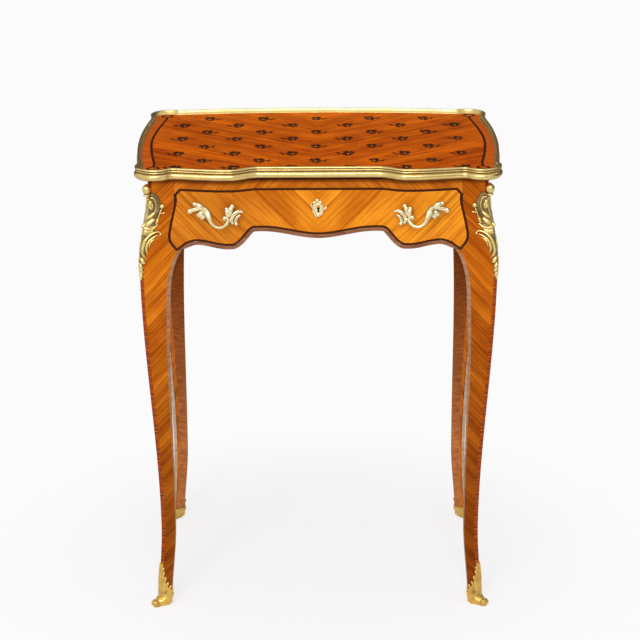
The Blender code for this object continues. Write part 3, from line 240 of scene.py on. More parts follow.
def side_edge(y):
    """Lower edge of the sides: a flat tongue between two crests at 85 mm, level over the brackets."""
    drop = mix(0.102, 0.093, smooth(np.abs(y) / CREST))
    tip = ARRIS_Y + KNEE_OUT - THIGH_WIDTH - BRACKET_REACH
    return mix(FRAME_TOP - drop, APRON_END, smooth((np.abs(y) - CREST) / (tip - CREST)))


def raised_edge(edge, x, distance):
    """A lower edge moved up square to itself: the highest of the circles of that radius set all along it."""
    radius = np.asarray(distance)[..., None]
    aside = np.linspace(-1.0, 1.0, 41) * radius
    reach = np.sqrt(np.maximum(radius**2 - aside**2, 0.0))
    return (edge(x[..., None] + aside) + reach).max(axis=-1)


DRAWER_END = np.vstack(
    [
        [(0.210, DRAWER_TOP)],
        spline([(0.2195, 0.6839), (0.2176, 0.6744), (0.2287, 0.6200), (0.2195, 0.5992)], 12),
        [(0.210, 0.5949)],
    ]
)


def drawer_half(z):
    """Half width of the drawer front at a height: notch, waist, swell and mitre of its S-curved end."""
    return np.interp(z, DRAWER_END[::-1, 1], DRAWER_END[::-1, 0])


def arris_out(z):
    """How far the leg's outer edge stands out: eased out to the knee, in to the ankle, out to the foot."""
    upper = KNEE_OUT * smooth((BULGE_TOP - z) / (BULGE_TOP - KNEE))
    shank = mix(-ANKLE_IN, KNEE_OUT, smooth((z - ANKLE) / (KNEE - ANKLE)))
    foot = mix(FOOT_OUT, -ANKLE_IN, smooth(z / ANKLE))
    return np.where(z > KNEE, upper, np.where(z > ANKLE, shank, foot))


def shank_share(z):
    """Share of the way up the shank, from the ankle to the flare."""
    return np.clip((z - ANKLE) / (FLARE - ANKLE), 0.0, 1.0)


def face_width(z):
    """Width of a leg's outer face: the stile, a quarter-round bracket, a powered taper and the foot."""
    out = arris_out(z)
    share = np.clip((z - FLARE) / (BRACKET - FLARE), 0.0, 1.0)
    inner = KNEE_OUT - THIGH_WIDTH - BRACKET_REACH * (1.0 - np.sqrt(1.0 - share * share))
    bracket = out - inner + (KNEE_OUT - arris_out(np.float64(FLARE))) * (1.0 - share)
    taper = mix(ANKLE_WIDTH, THIGH_WIDTH, shank_share(z) ** TAPER_POWER)
    foot = mix(FOOT_WIDTH, ANKLE_WIDTH, z / ANKLE)
    lower = np.where(z > FLARE, bracket, np.where(z > ANKLE, taper, foot))
    return np.where(z > BRACKET, STILE_WIDTH + out, lower)


def leg_corners(z, side_y):
    """Corners of a leg's level section at heights z, as distances from the middle, in six pairs.

    Front face's inner edge and arris end, side face's arris end and inner edge, then the two ends of the
    broad inner face. Each face leans so that it runs into the frieze above and square at the foot. The bevel
    beside the front face narrows from the bracket to the ankle. side_y is -1 for a front leg.
    """
    z = np.asarray(z, float)
    frieze = frieze_front if side_y < 0 else frieze_back
    out, width = arris_out(z), face_width(z)
    arris_x, arris_y = ARRIS_X + out, ARRIS_Y + out
    inner_x, inner_y = arris_x - width, arris_y - width
    blend = smooth((z - FLARE) / (BRACKET - FLARE))
    front_tilt = mix(FACE_TILT, arris_y - frieze(STILE_X), blend)
    side_tilt = mix(FACE_TILT, arris_x - frieze_side(STILE_Y), blend)
    run = (width - ARRIS_CHAMFER) / (STILE_WIDTH + out - ARRIS_CHAMFER)
    front, side = arris_y - front_tilt * run, arris_x - side_tilt * run
    stile = z > BRACKET
    bevel = mix(ANKLE_BEVEL_IN, FRONT_BEVEL_IN, shank_share(z) ** 1.5)
    bevel_front_y = np.where(stile, ARRIS_Y - STILE_INNER_FACE, front - BEVEL_BACK)
    bevel_side_x = np.where(stile, ARRIS_X - STILE_INNER_FACE, side - BEVEL_BACK)
    pairs = [
        (inner_x, front),
        (arris_x - ARRIS_CHAMFER, arris_y),
        (arris_x, arris_y - ARRIS_CHAMFER),
        (side, inner_y),
        (bevel_side_x, np.where(stile, inner_y, inner_y - BEVEL_IN)),
        (np.where(stile, inner_x, inner_x - bevel), bevel_front_y),
    ]
    return np.stack([join(*pair) for pair in pairs], axis=-2)


def fillet_on(edge, ear_along, ear_out):
    """Where the hollow arc beside an ear touches an edge, and its centre, by halving the distance."""
    low, high = 0.0, ear_along
    for _ in range(60):
        along = (low + high) / 2
        slope = (edge(along + GAP) - edge(along - GAP)) / (2 * GAP)
        reach = EAR_FILLET / math.hypot(slope, 1.0)
        centre = (along - slope * reach, edge(along) + reach)
        far = math.hypot(centre[0] - ear_along, centre[1] - ear_out) > EAR_RADIUS + EAR_FILLET
        low, high = (along, high) if far else (low, along)
    return along, centre


def arc(centre, radius, first, last, count):
    """Points on a circle from one angle to another the short way round, without the last one."""
    last = first + (last - first + math.pi) % (2 * math.pi) - math.pi
    angle = np.linspace(first, last, count, endpoint=False)
    return join(centre[0] + radius * np.cos(angle), centre[1] + radius * np.sin(angle))


def quarter(edge):
    """Three runs of the rim's outline from the middle of an edge to the middle of a side."""
    along, near = fillet_on(edge, EAR_X, EAR_Y)
    across, far = fillet_on(rim_side, EAR_Y, EAR_X)
    far = far[::-1]
    first = math.atan2(near[1] - EAR_Y, near[0] - EAR_X)
    last = math.atan2(far[1] - EAR_Y, far[0] - EAR_X)
    touch = math.atan2(edge(along) - near[1], along - near[0])
    leave = math.atan2(across - far[1], rim_side(across) - far[0])
    x, y = np.linspace(0.0, along, 110, endpoint=False), np.linspace(across, 0.0, 60)
    run = np.vstack([join(x, edge(x)), arc(near, EAR_FILLET, touch, first - math.pi, 9)])
    ear = arc((EAR_X, EAR_Y), EAR_RADIUS, first, last, 56)
    side = np.vstack([arc(far, EAR_FILLET, last - math.pi, leave, 9), join(rim_side(y), y)])
    return run, ear, side


def rim_outline():
    """The rim's outline anticlockwise from the middle of the front, and where each length starts and ends."""
    front, back = quarter(rim_front), quarter(rim_back)
    right = np.vstack([np.vstack(front) * (1, -1), np.vstack(back)[-2::-1]])
    loop = np.vstack([right, right[-2:0:-1] * (-1, 1)])
    front_ear, back_end = len(front[0]), len(right) - 1 - len(back[0])
    marks = [front_ear, front_ear + len(front[1]), back_end - len(back[1]), back_end]
    marks += [len(loop) - mark for mark in marks[::-1]] + [len(loop) + front_ear]
    names = ["rim_corner_front_right", "rim_right", "rim_corner_back_right", "rim_back"]
    names += ["rim_corner_back_left", "rim_left", "rim_corner_front_left", "rim_front"]
    return loop, dict(zip(names, zip(marks, marks[1:])))


# Meshes


class Shell:
    """Gathers grids of points and makes one mesh of them, with its seams closed and its faces turned out."""

    def __init__(self):
        self.points, self.quads, self.caps = [], [], []
        self.finish, self.cap_finish, self.maps, self.hollows = [], [], [], []
        self.count = 0

    def grid(self, points, finish=0, uv=None, hollow=0.0, ring=False, loop=False):
        """A grid of points, rows by columns; ring joins its last column to its first, loop its last row."""
        rows, columns = points.shape[:2]
        index = np.arange(rows * columns).reshape(rows, columns) + self.count
        if ring:
            index = np.hstack([index, index[:, :1]])
        if loop:
            index = np.vstack([index, index[:1]])
        quads = np.stack([index[:-1, :-1], index[:-1, 1:], index[1:, 1:], index[1:, :-1]], axis=-1)
        self.quads.append(quads.reshape(-1, 4))
        self.finish.append(np.full(len(self.quads[-1]), finish))
        self.keep(points.reshape(-1, 3), uv, np.broadcast_to(hollow, (rows, columns)).ravel())
        return index

    def cap(self, points, finish=0):
        """One flat face through a closed outline."""
        self.caps.append(list(range(self.count, self.count + len(points))))
        self.cap_finish.append(finish)
        self.keep(points, None, np.zeros(len(points)))

    def tube(self, points, finish=0, hollow=0.0):
        """Rings of points with both ends shut."""
        self.grid(points, finish, None, hollow, ring=True)
        self.cap(points[0], finish)
        self.cap(points[-1], finish)

    def keep(self, points, uv, hollow):
        """Adds points with their map and how hollow each is."""
        self.points.append(points)
        self.maps.append(np.zeros((len(points), 2)) if uv is None else uv.reshape(-1, 2))
        self.hollows.append(hollow)
        self.count += len(points)

    def make(self, name, body, slot, finishes, nodes=(), sharp=40.0, weld=2e-6):
        """The object: named, riding on its body, with its finishes, in place of the nodes that it stands for."""
        mesh = bpy.data.meshes.new(name)
        mesh.from_pydata(np.vstack(self.points), [], np.vstack(self.quads).tolist() + self.caps)
        finish = np.concatenate([*self.finish, np.array(self.cap_finish, int)]).astype(np.int32)
        mesh.polygons.foreach_set("material_index", finish)
        corner = np.empty(len(mesh.loops), np.int32)
        mesh.loops.foreach_get("vertex_index", corner)
        layer = mesh.uv_layers.new(name="UVMap")
        layer.uv.foreach_set("vector", np.vstack(self.maps)[corner].astype(np.float32).ravel())
        hollow = mesh.attributes.new("hollow", "FLOAT", "POINT")
        hollow.data.foreach_set("value", np.concatenate(self.hollows).astype(np.float32))
        for material in finishes:
            mesh.materials.append(material)
        work = bmesh.new()
        work.from_mesh(mesh)
        bmesh.ops.remove_doubles(work, verts=work.verts, dist=weld)
        bmesh.ops.dissolve_degenerate(work, edges=work.edges, dist=weld / 4)
        bmesh.ops.recalc_face_normals(work, faces=work.faces)
        work.to_mesh(mesh)
        work.free()
        mesh.shade_smooth()
        mesh.set_sharp_from_angle(angle=math.radians(sharp))
        made = bpy.data.objects.new(name, mesh)
        bpy.context.scene.collection.objects.link(made)
        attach(made, body)
        if nodes:
            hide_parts(*nodes)


def spread(values, share):
    """Values set evenly along a length, read at shares of it."""
    values = np.atleast_1d(np.asarray(values, float))
    return np.interp(share, np.linspace(0.0, 1.0, len(values)), values)


ROUND_END = np.array([0.50, 0.75, 0.92, 1.0, 1.0, 0.98, 0.86, 0.20])


def relief(path, width, height, under=0.3, vein=0.0, rings=36, sides=14, shade_and_grime=None):
    """A scroll or leaf in relief, drawn in millimetres along, down and out of a surface, returned in metres.

    A flattened oval is carried along a smooth path. Its half width and its rise are spread along the path.
    vein sinks the middle by a bell curve. Also gives how hollow each point is, as painted shade and grime, or the
    painted shade and grime asked for the whole form.
    """
    path = np.asarray(path, float)
    if path.shape[1] == 2:
        path = at_height(path, 0.0)
    line = even(spline(path, 12), rings)
    tangent = unit(np.gradient(line, axis=0))
    aside = unit(np.cross(tangent, (0.0, 0.0, 1.0)))
    rise = np.cross(aside, tangent)
    across, up = np.cos(turns(sides)), np.sin(turns(sides))
    sunk = vein * np.exp(-((across / VEIN_WIDTH) ** 2))
    wide = spread(width, shares(rings))[:, None] * across
    high = spread(height, shares(rings))[:, None]
    lifted = np.where(up > 0, high * up * (1.0 - sunk), under * up)
    points = line[:, None] + aside[:, None] * wide[..., None] + rise[:, None] * lifted[..., None]
    # Painted shade and grime: 1 underneath and on the flanks, more in a sunk vein, least on the crest.
    hollow = np.where(up > 0, np.clip(1.15 - up + 1.5 * sunk * (up > 0.2), 0.0, 1.0), 1.0)
    return points / MM, hollow if shade_and_grime is None else shade_and_grime


def reliefs(rows):
    """Forms in relief from rows of path, half width, rise and painted shade and grime; one number as half width is a
    leaf's.
    """
    forms = []
    for path, half, rise, shade_and_grime in rows:
        ends = ROUND_END if np.isscalar(half) else 1.0
        forms.append(relief(path, np.multiply(half, ends), np.multiply(rise, ends), shade_and_grime=shade_and_grime))
    return forms


def turned(centre, profile, sides=20):
    """A turned form in millimetres: a profile of radius and height carried round the way out of a surface."""
    profile = np.asarray(profile, float)
    radius, height = profile[:, :1], profile[:, 1:]
    points = join(radius * np.cos(turns(sides)), radius * np.sin(turns(sides)), height) + np.array(centre)
    # Painted shade and grime: darker down the steep sides, towards the surface.
    steep = 1.0 - (height - height.min()) / np.ptp(height)
    return points / MM, steep**2


def ball(s, t, h, radius, squash=0.8):
    """A ball in millimetres, flattened towards the surface: half a turn of a circle carried round."""
    angle = np.linspace(-math.pi / 2, math.pi / 2, 12)
    return turned((s, t, h), join(radius * np.cos(angle), radius * squash * np.sin(angle)), 18)


# Finishes


class Value:
    """A shader socket in an expression; each operator adds one Math node."""

    def __init__(self, finish, socket):
        self.finish = finish
        self.socket = socket

    def math(self, operation, *others):
        inputs = dict(enumerate((self, *others)))
        return self.finish.node("ShaderNodeMath", {"operation": operation}, inputs)

    def __add__(self, other):
        return self.math("ADD", other)

    def __sub__(self, other):
        return self.math("SUBTRACT", other)

    def __rsub__(self, other):
        return self.finish.node("ShaderNodeMath", {"operation": "SUBTRACT"}, {0: other, 1: self})

    def __mul__(self, other):
        return self.math("MULTIPLY", other)

    def __truediv__(self, other):
        return self.math("DIVIDE", other)

    def __abs__(self):
        return self.math("ABSOLUTE")

    __radd__ = __add__
    __rmul__ = __mul__

    def step(self, low, high):
        """Eased from 0 at low to 1 at high."""
        settings = {"interpolation_type": "SMOOTHSTEP"}
        return self.finish.node("ShaderNodeMapRange", settings, {0: self, 1: low, 2: high, 3: 0.0, 4: 1.0})


class Finish:
    """Procedural shading of a material or a world: nodes are added by one method and fed to its shader."""

    def __init__(self, name, store=None, shader="Principled BSDF"):
        self.made = (bpy.data.materials if store is None else store).new(name)
        self.made.use_nodes = True
        self.tree = self.made.node_tree
        self.shader = self.tree.nodes[shader]

    def node(self, kind, settings=None, inputs=None, output=0):
        """Any node: its settings are set first, then the values or links of its sockets."""
        made = self.tree.nodes.new(kind)
        for key, value in (settings or {}).items():
            if key == "stops":
                ramp = made.color_ramp.elements
                for place, (position, colour) in enumerate(value):
                    stop = ramp[place] if place < 2 else ramp.new(position)
                    stop.position, stop.color = position, (*colour, 1.0)
            else:
                setattr(made, key, value)
        for key, value in (inputs or {}).items():
            self.feed(made.inputs[key], value)
        return Value(self, made.outputs[output])

    def feed(self, socket, value):
        """Links a value to a socket, or sets a plain number or colour on it."""
        if isinstance(value, Value):
            self.tree.links.new(value.socket, socket)
        elif socket.type == "RGBA" and len(value) == 3:
            socket.default_value = (*value, 1.0)
        else:
            socket.default_value = value

    def blend(self, share, first, second, kind="MIX"):
        """Two colours mixed by a share."""
        settings = {"data_type": "RGBA", "blend_type": kind, "clamp_factor": True}
        return self.node("ShaderNodeMix", settings, {0: share, 6: first, 7: second}, 2)

    def tint(self, share, colour, by):
        """A colour multiplied by another, by a share."""
        return self.blend(share, colour, self.blend(1.0, colour, by, "MULTIPLY"))

    def place(self, source):
        """Where a point is: on the piece's own UV map, or in the table's frame."""
        return self.node("ShaderNodeTexCoord", None, None, source)

    def axes(self, source):
        """The three lengths of that place."""
        split = self.node("ShaderNodeSeparateXYZ", None, {0: self.place(source)})
        return [Value(self, socket) for socket in split.socket.node.outputs]

    def vector(self, x, y, z=0.0):
        """Three lengths as one place."""
        return self.node("ShaderNodeCombineXYZ", None, {0: x, 1: y, 2: z})

    def noise(self, place, scale=1.0, detail=2.0, rough=0.5, distortion=0.0):
        """Cloudy noise of 0 to 1."""
        inputs = {"Vector": place, "Scale": scale, "Detail": detail, "Roughness": rough}
        return self.node("ShaderNodeTexNoise", None, {**inputs, "Distortion": distortion})

    def streaks(self, x, y, detail=2.0, rough=0.5, z=0.0):
        """Noise drawn out by how much each length is stretched."""
        return self.noise(self.vector(x, y, z), 1.0, detail, rough)

    def chance(self, value):
        """A random number for each whole value."""
        return self.node("ShaderNodeTexWhiteNoise", {"noise_dimensions": "1D"}, {"W": value})

    def ramp(self, value, *stops):
        """A colour between stops."""
        return self.node("ShaderNodeValToRGB", {"stops": stops}, {0: value})

    def bump(self, height, depth):
        """A normal raised by a height of 0 to 1 times a depth in metres."""
        return self.node("ShaderNodeBump", None, {"Strength": 1.0, "Distance": depth, "Height": height})

    def shade(self, **inputs):
        """Feeds the shader, and gives what was made."""
        for key, value in inputs.items():
            self.feed(self.shader.inputs[key.replace("_", " ")], value)
        return self.made


def dim(colour, share):
    """A colour at a share of its strength."""
    return tuple(share * part for part in colour)


def veneer(name, source, lean, light, dark, sheet, shade=None, sheen=0.03, patchy=0.42, seam=0.6):
    """Waxed veneer laid in slanting sheets: streaks, fine pores, mottle and thin dark joints.

    Two lengths of the surface, the first mirrored about the middle, are turned by the grain's lean, so one
    runs along the grain and one across it. Sheets are whole steps across the grain, each with its own tone.
    """
    finish = Finish(name)
    a, b, _ = finish.axes(source)
    a = abs(a)
    c, s = math.cos(math.radians(lean)), math.sin(math.radians(lean))
    along, across = a * c + b * s, b * c - a * s
    wobble = finish.noise(finish.vector(along, across), 34.0)
    leaf = across / sheet + (wobble - 0.5) * 0.05
    number = leaf.math("FLOOR")
    tone = finish.chance(number * 1.37 + 3.1)
    joint = abs((leaf - number) - 0.5).step(0.5 - 0.00055 / sheet, 0.5 - 0.0001 / sheet)
    drift = finish.streaks(along * 9.0, across * 60.0, z=tone * 11.0)
    stripes = finish.streaks(along * 5.0, across * 190.0 + drift * 2.6, 4.0, 0.6, tone * 7.0)
    fine = finish.streaks(along * 11.0, across * 820.0 + drift * 2.0, 3.0, 0.6, tone * 5.0)
    threads = finish.streaks(along * 60.0, across * 2300.0, 2.0, 0.6, tone * 3.0)
    mottle = finish.streaks(along * 22.0, across * 46.0, 3.0, 0.5, 1.7)
    lines = finish.streaks(along * 4.0, across * 420.0 + drift * 2.0, 3.0, 0.7, tone * 9.0)
    middle = tuple(mix(np.array(dark), np.array(light), 0.5))
    share = (stripes - 0.5) * 1.3 + (fine - 0.5) * 1.0 + (mottle - 0.5) * 0.9 + (tone - 0.5) * patchy + 0.5
    colour = finish.ramp(share, (0.14, dark), (0.88, light), (0.5, middle))
    colour = finish.blend(lines.step(0.51, 0.64) * 0.50, colour, dim(dark, 0.42))
    colour = finish.blend(threads.step(0.60, 0.74) * 0.3, colour, dim(dark, 0.5))
    colour = finish.blend(joint * seam, colour, dim(dark, 0.25))
    if shade:
        colour = shade(finish, colour)
    rough = 0.36 + (mottle - 0.5) * 0.10 + threads.step(0.6, 0.75) * 0.10
    height = threads.step(0.58, 0.75) * -0.35 + joint * -0.6 + mottle * 0.8
    normal = finish.bump(height, 0.00006)
    return finish.shade(Base_Color=colour, Roughness=rough, Normal=normal, Specular_IOR_Level=sheen)


def cross_band(name, light, dark, pitch, contrast=1.7):
    """A narrow band of veneer with its grain across: bars of uneven tone along the band."""
    finish = Finish(name)
    a, b, _ = finish.axes("UV")
    bars = finish.streaks(a * 30.0, b * pitch, 4.0, 0.65)
    cells = finish.streaks(a * 160.0, b * 1500.0)
    colour = finish.ramp((bars - 0.5) * contrast + 0.5, (0.2, dark), (0.82, light))
    colour = finish.blend(cells.step(0.58, 0.75) * 0.35, colour, dim(dark, 0.4))
    normal = finish.bump(cells, 0.00004)
    rough = 0.36 + cells * 0.12
    return finish.shade(Base_Color=colour, Roughness=rough, Normal=normal, Specular_IOR_Level=0.05)


def inlay(name, colour, spark):
    """Thin inlaid wood: near even in tone, with a faint fleck."""
    finish = Finish(name)
    place = finish.place("Object")
    fleck, cloud = finish.noise(place, 900.0, 3.0), finish.noise(place, 60.0)
    tone = finish.blend(fleck.step(0.45, 0.75) * 0.6, colour, spark)
    tone = finish.blend((cloud - 0.35) * 0.6, tone, dim(colour, 0.55))
    return finish.shade(Base_Color=tone, Roughness=0.36 + fleck * 0.16, Specular_IOR_Level=0.02)


def plain_wood(name, light, dark, lengthwise):
    """Planed drawer wood: rings drawn out along one axis, open pores and a dull, dusty surface."""
    finish = Finish(name)
    axes = finish.axes("Object")
    drawn = [axis * (12.0 if i == lengthwise else 130.0) for i, axis in enumerate(axes)]
    grain = finish.noise(finish.vector(*drawn), 1.0, 5.0, 0.62, 0.6)
    pores = finish.noise(finish.vector(*(axis * 6.0 for axis in drawn)))
    stain = finish.noise(finish.vector(*axes), 14.0, 3.0)
    colour = finish.ramp(grain * 1.2 - 0.1, (0.25, dark), (0.75, light))
    colour = finish.blend(pores.step(0.6, 0.74) * 0.6, colour, dim(dark, 0.4))
    colour = finish.blend(stain.step(0.5, 0.8) * 0.4, colour, dim(dark, 0.6))
    normal = finish.bump(grain * 0.6 - pores.step(0.58, 0.75) * 0.6, 0.00015)
    return finish.shade(Base_Color=colour, Roughness=0.52 + pores * 0.3, Normal=normal)


def gilt(name, bright, deep, rough, shade_and_grime, skin, uneven=0.6):
    """Gilt metal: bright on its crests, brown in its hollows, with soft wear and a fine hand-worked skin.

    The piece's own hollow attribute, 1 in a groove and 0 on a crest, carries painted shade and grime: hollows are
    painted dark brown.
    """
    finish = Finish(name)
    place = finish.place("Object")
    hollow = finish.node("ShaderNodeAttribute", {"attribute_name": "hollow"}, None, "Fac")
    cloud, grit = finish.noise(place, 75.0, 4.0), finish.noise(place, 1500.0)
    # Painted shade and grime: hollows and cloudy patches go dark brown, rougher and less metallic.
    shade_and_dirt = (hollow + (cloud - 0.5) * uneven).step(0.36, 0.95) * shade_and_grime
    colour = finish.blend((cloud - 0.3) * 1.1, bright, deep)
    colour = finish.blend(shade_and_dirt, colour, dim(deep, 0.16))
    normal = finish.bump(cloud * 0.7 + grit * 0.3, skin)
    rough = rough + (cloud - 0.5) * 0.16 + shade_and_dirt * 0.35
    return finish.shade(Base_Color=colour, Metallic=1.0 - shade_and_dirt * 0.7, Roughness=rough, Normal=normal)


def iron(name):
    """Filed lock steel: dull grey with brown spots and fine scratches along the file."""
    finish = Finish(name)
    x, _, z = finish.axes("Object")
    scratch = finish.streaks(x * 30.0, z * 2600.0)
    rust = finish.noise(finish.place("Object"), 120.0, 4.0).step(0.56, 0.72)
    colour = finish.blend(rust * 0.75, paint(128, 126, 120), paint(92, 58, 36))
    normal = finish.bump(scratch - rust * 0.5, 0.00006)
    rough = 0.38 + rust * 0.4
    return finish.shade(Base_Color=colour, Metallic=1.0 - rust * 0.7, Roughness=rough, Normal=normal)


def top_border(finish, colour):
    """Redder wood outside the line at each side of the top, past the same curve as the line."""
    x, y, _ = finish.axes("Object")
    bow = abs((y - TOP_LINE_MIDDLE) / TOP_LINE_REACH).math("POWER", TOP_LINE_POWER)
    curve = (TOP_LINE_OUT - bow * TOP_LINE_BOW).math("MAXIMUM", TOP_LINE_IN)
    bars = finish.streaks(x * 25.0, y * 240.0, 4.0, 0.6)
    band = finish.ramp(bars, (0.25, paint(158, 60, 8)), (0.75, paint(220, 106, 20)))
    return finish.blend((abs(x) - curve).step(-0.0006, 0.0006), colour, band)


def shank_tone_and_shade(finish, colour):
    """Legs darken towards the foot, the right-hand legs are painted in shade, a painted shadow lies under the rim,
    and they have a cross-banded edge along the arris.
    """
    near, z, _ = finish.axes("UV")
    x, _, _ = finish.axes("Object")
    colour = finish.tint((1.0 - z.step(0.05, 0.62)) * 0.80, colour, (0.33, 0.26, 0.55))
    # Painted shade: the right-hand legs, away from the key light, are darker.
    colour = finish.tint(x.step(-0.01, 0.01), colour, (0.86, 0.78, 0.72))
    bars = finish.streaks(near * 60.0, z * 330.0, 4.0, 0.65)
    band = finish.ramp((bars - 0.5) * 2.4 + 0.5, (0.25, paint(62, 24, 8)), (0.8, paint(198, 88, 30)))
    colour = finish.blend((1.0 - near.step(0.0018, 0.0024)) * 0.9, colour, band)
    return painted_rim_shadow(finish, colour)


def drawer_tone(finish, colour):
    """The drawer front is darker and browner towards its left end."""
    x, _, _ = finish.axes("Object")
    return finish.tint((0.0 - x).step(0.0, 0.13), colour, (0.78, 0.70, 0.85))


def painted_rim_shadow(finish, colour):
    """A painted shadow right under the rim: a band just below it is darkened."""
    _, z, _ = finish.axes("UV")
    # Painted shadow of the rim: darker from 0.7005 m up to 0.707 m.
    return finish.tint(z.step(0.7005, 0.7070) * 0.8, colour, (0.30, 0.22, 0.22))


def inner_face_shade_and_line(finish, colour):
    """A leg's broad inner face painted as a lit face and a face in shade: bright near its outer edge, painted shade
    beside that, darkest up top and paler towards the foot, with a dark line along its edge.
    """
    near, z, _ = finish.axes("UV")
    limit = z.step(0.10, 0.45) * 0.0050 + 0.0058
    shade = (near - limit).step(-0.0007, 0.0007)
    # Painted shade of the face turned from the light: darkest under the frame, paler towards the foot.
    upper, middle, foot = paint(100, 46, 13), paint(142, 84, 44), paint(176, 114, 68)
    plain = finish.blend(z.step(0.30, 0.50), finish.blend(z.step(0.14, 0.30), foot, middle), upper)
    streaks = finish.streaks(near * 40.0, z * 300.0 + near * 120.0, 4.0, 0.65)
    streaks = finish.blend((streaks - 0.5) * 2.6 + 0.5, (0.42, 0.36, 0.34), (1.5, 1.5, 1.5))
    plain = finish.blend(1.0, plain, streaks, "MULTIPLY")
    colour = finish.blend(shade * 0.8, colour, plain)
    return finish.blend(1.0 - near.step(0.0008, 0.0014), colour, paint(60, 28, 10))


class Finishes:
    """All finishes of the table, each made once, when a piece first asks for it."""

    def __init__(self, colours):
        own = {name: tuple(getattr(colours, name)) for name in type(colours).__annotations__}
        frieze, leg = (own["frieze_light"], own["frieze_dark"]), (own["leg_light"], own["leg_dark"])
        self.made = {}
        self.recipes = {
            "top_field": (veneer, "Object", 36.0, own["top_light"], own["top_dark"], 0.060, top_border, 0.010),
            "drawer_veneer": (veneer, "UV", 45.0, *frieze, 0.042, drawer_tone),
            # The rail's colours are the frieze's wood painted darker as the rim's shadow, with a painted shadow band
            # under the rim.
            "rail_veneer": (veneer, "UV", -45.0, paint(206, 116, 26), paint(154, 74, 8), 0.042, painted_rim_shadow),
            "leg_veneer": (veneer, "UV", 46.0, *leg, 0.0165, shank_tone_and_shade, 0.03, 0.5, 0.4),
            "inner_leg": (veneer, "UV", 52.0, paint(226, 120, 34), paint(160, 74, 14), 0.030, inner_face_shade_and_line),
            "arris_band": (cross_band, paint(196, 88, 32), paint(66, 26, 9), 330.0, 2.4),
            "edge_bevel": (cross_band, own["edge_bevel"], paint(112, 66, 44), 160.0),
            # The leg bevels' colours are partly a painted reflection: the side bevel is painted pale as a caught
            # highlight, the front bevel greyish as a grazing sheen.
            "front_bevel": (cross_band, own["front_bevel"], paint(136, 94, 66), 120.0),
            "side_bevel": (cross_band, own["side_bevel"], paint(166, 130, 100), 90.0),
            "stringing": (inlay, own["stringing"], paint(82, 44, 18)),
            "sprig_wood": (inlay, paint(50, 24, 7), paint(96, 48, 14)),
            "sprig_heart": (inlay, paint(190, 128, 74), paint(214, 166, 110)),
            "carcass_back": (plain_wood, paint(126, 84, 48), paint(74, 46, 24), 2),
            "oak_long": (plain_wood, paint(178, 134, 86), paint(122, 82, 46), 1),
            "oak_wide": (plain_wood, paint(176, 132, 84), paint(120, 80, 45), 0),
            "rim_brass": (gilt, paint(222, 196, 130), paint(186, 152, 82), 0.30, 0.82, 0.000008, 0.12),
            "mount_gilt": (gilt, own["gilt_light"], own["gilt_deep"], 0.35, 0.9, 0.00004),
            "shoe_gilt": (gilt, paint(228, 190, 104), paint(174, 124, 48), 0.44, 0.66, 0.00006),
            "pale_gilt": (gilt, paint(238, 223, 180), paint(204, 174, 114), 0.34, 0.84, 0.00005),
            "lock_steel": (iron,),
        }

    def __getitem__(self, name):
        if name not in self.made:
            maker, *inputs = self.recipes[name]
            self.made[name] = maker(name, *inputs)
        return self.made[name]


# Pieces


def flat_band(outer, inner):
    """A thin inlaid band on the top's field: rings of outer and inner corners, the upper face just proud."""
    high, low = FIELD + INLAY_LIFT, FIELD - INLAY_DEPTH
    corners = (outer, high), (inner, high), (inner, low), (outer, low)
    return np.stack([at_height(plan, z) for plan, z in corners], axis=1)


# One sprig in millimetres: dark leaves round a small pale heart, and a leafy tail to one side. Each leaf is a
# start, an end, a half width and a bend of its middle line to one side.
SPRIG = [
        ((-6.8, 1.6), (-1.4, 9.6), 2.5, 0.9),
        ((-2.4, 1.0), (2.6, 11.4), 2.6, -1.0),
        ((0.8, 0.4), (6.6, 8.0), 2.5, 0.9),
        ((-8.4, -1.4), (-0.6, 1.6), 2.0, 0.7),
        ((-1.4, 0.4), (6.8, -0.6), 1.9, 0.4),
        ((-2.6, -1.2), (-3.4, -9.6), 2.1, -0.7),
        ((0.2, -3.0), (0.8, -12.4), 2.3, 0.6),
        ((2.0, -1.6), (5.0, -8.4), 2.0, 0.5),
        ((4.2, -0.6), (10.4, -1.6), 1.6, -0.8),
        ((8.8, -1.8), (16.2, 1.8), 1.8, 1.0),
        ((8.0, -1.6), (11.4, -6.6), 1.5, 0.4),
        ((10.4, -0.8), (12.6, 5.0), 1.6, -0.5),
]


def leaf_rings(start, end, half, bend):
    """A flat leaf: a bowed middle line with a half width of a powered sine, as lens-shaped rings of four."""
    start, way = np.array(start), np.subtract(end, start)
    share = shares(8)[:, None]
    aside = np.array([-way[1], way[0]]) / np.linalg.norm(way)
    middle = start + way * share + aside * bend * np.sin(math.pi * share)
    wide = half * np.sin(math.pi * np.clip(share, 0.02, 0.985)) ** 0.75
    corners = (middle + aside * wide, 0.0), (middle, 0.10), (middle - aside * wide, 0.0), (middle, -0.20)
    return np.stack([at_height(plan, z) for plan, z in corners], axis=1)


def sprig_places():
    """Middles and ways of the sprigs: rows 45 mm apart, every other one shifted by 44 mm and turned round."""
    rows = [0.156, 0.110, 0.065, 0.0205, -0.0285, -0.073, -0.117, -0.1575]
    places = []
    for row, y in enumerate(rows):
        columns = np.arange(-2, 3) * 0.088 if row % 2 == 0 else np.arange(-3, 3) * 0.088 + 0.044
        places += [(x, y, 1.0 if row % 2 == 0 else -1.0) for x in columns]
    return np.array(places)


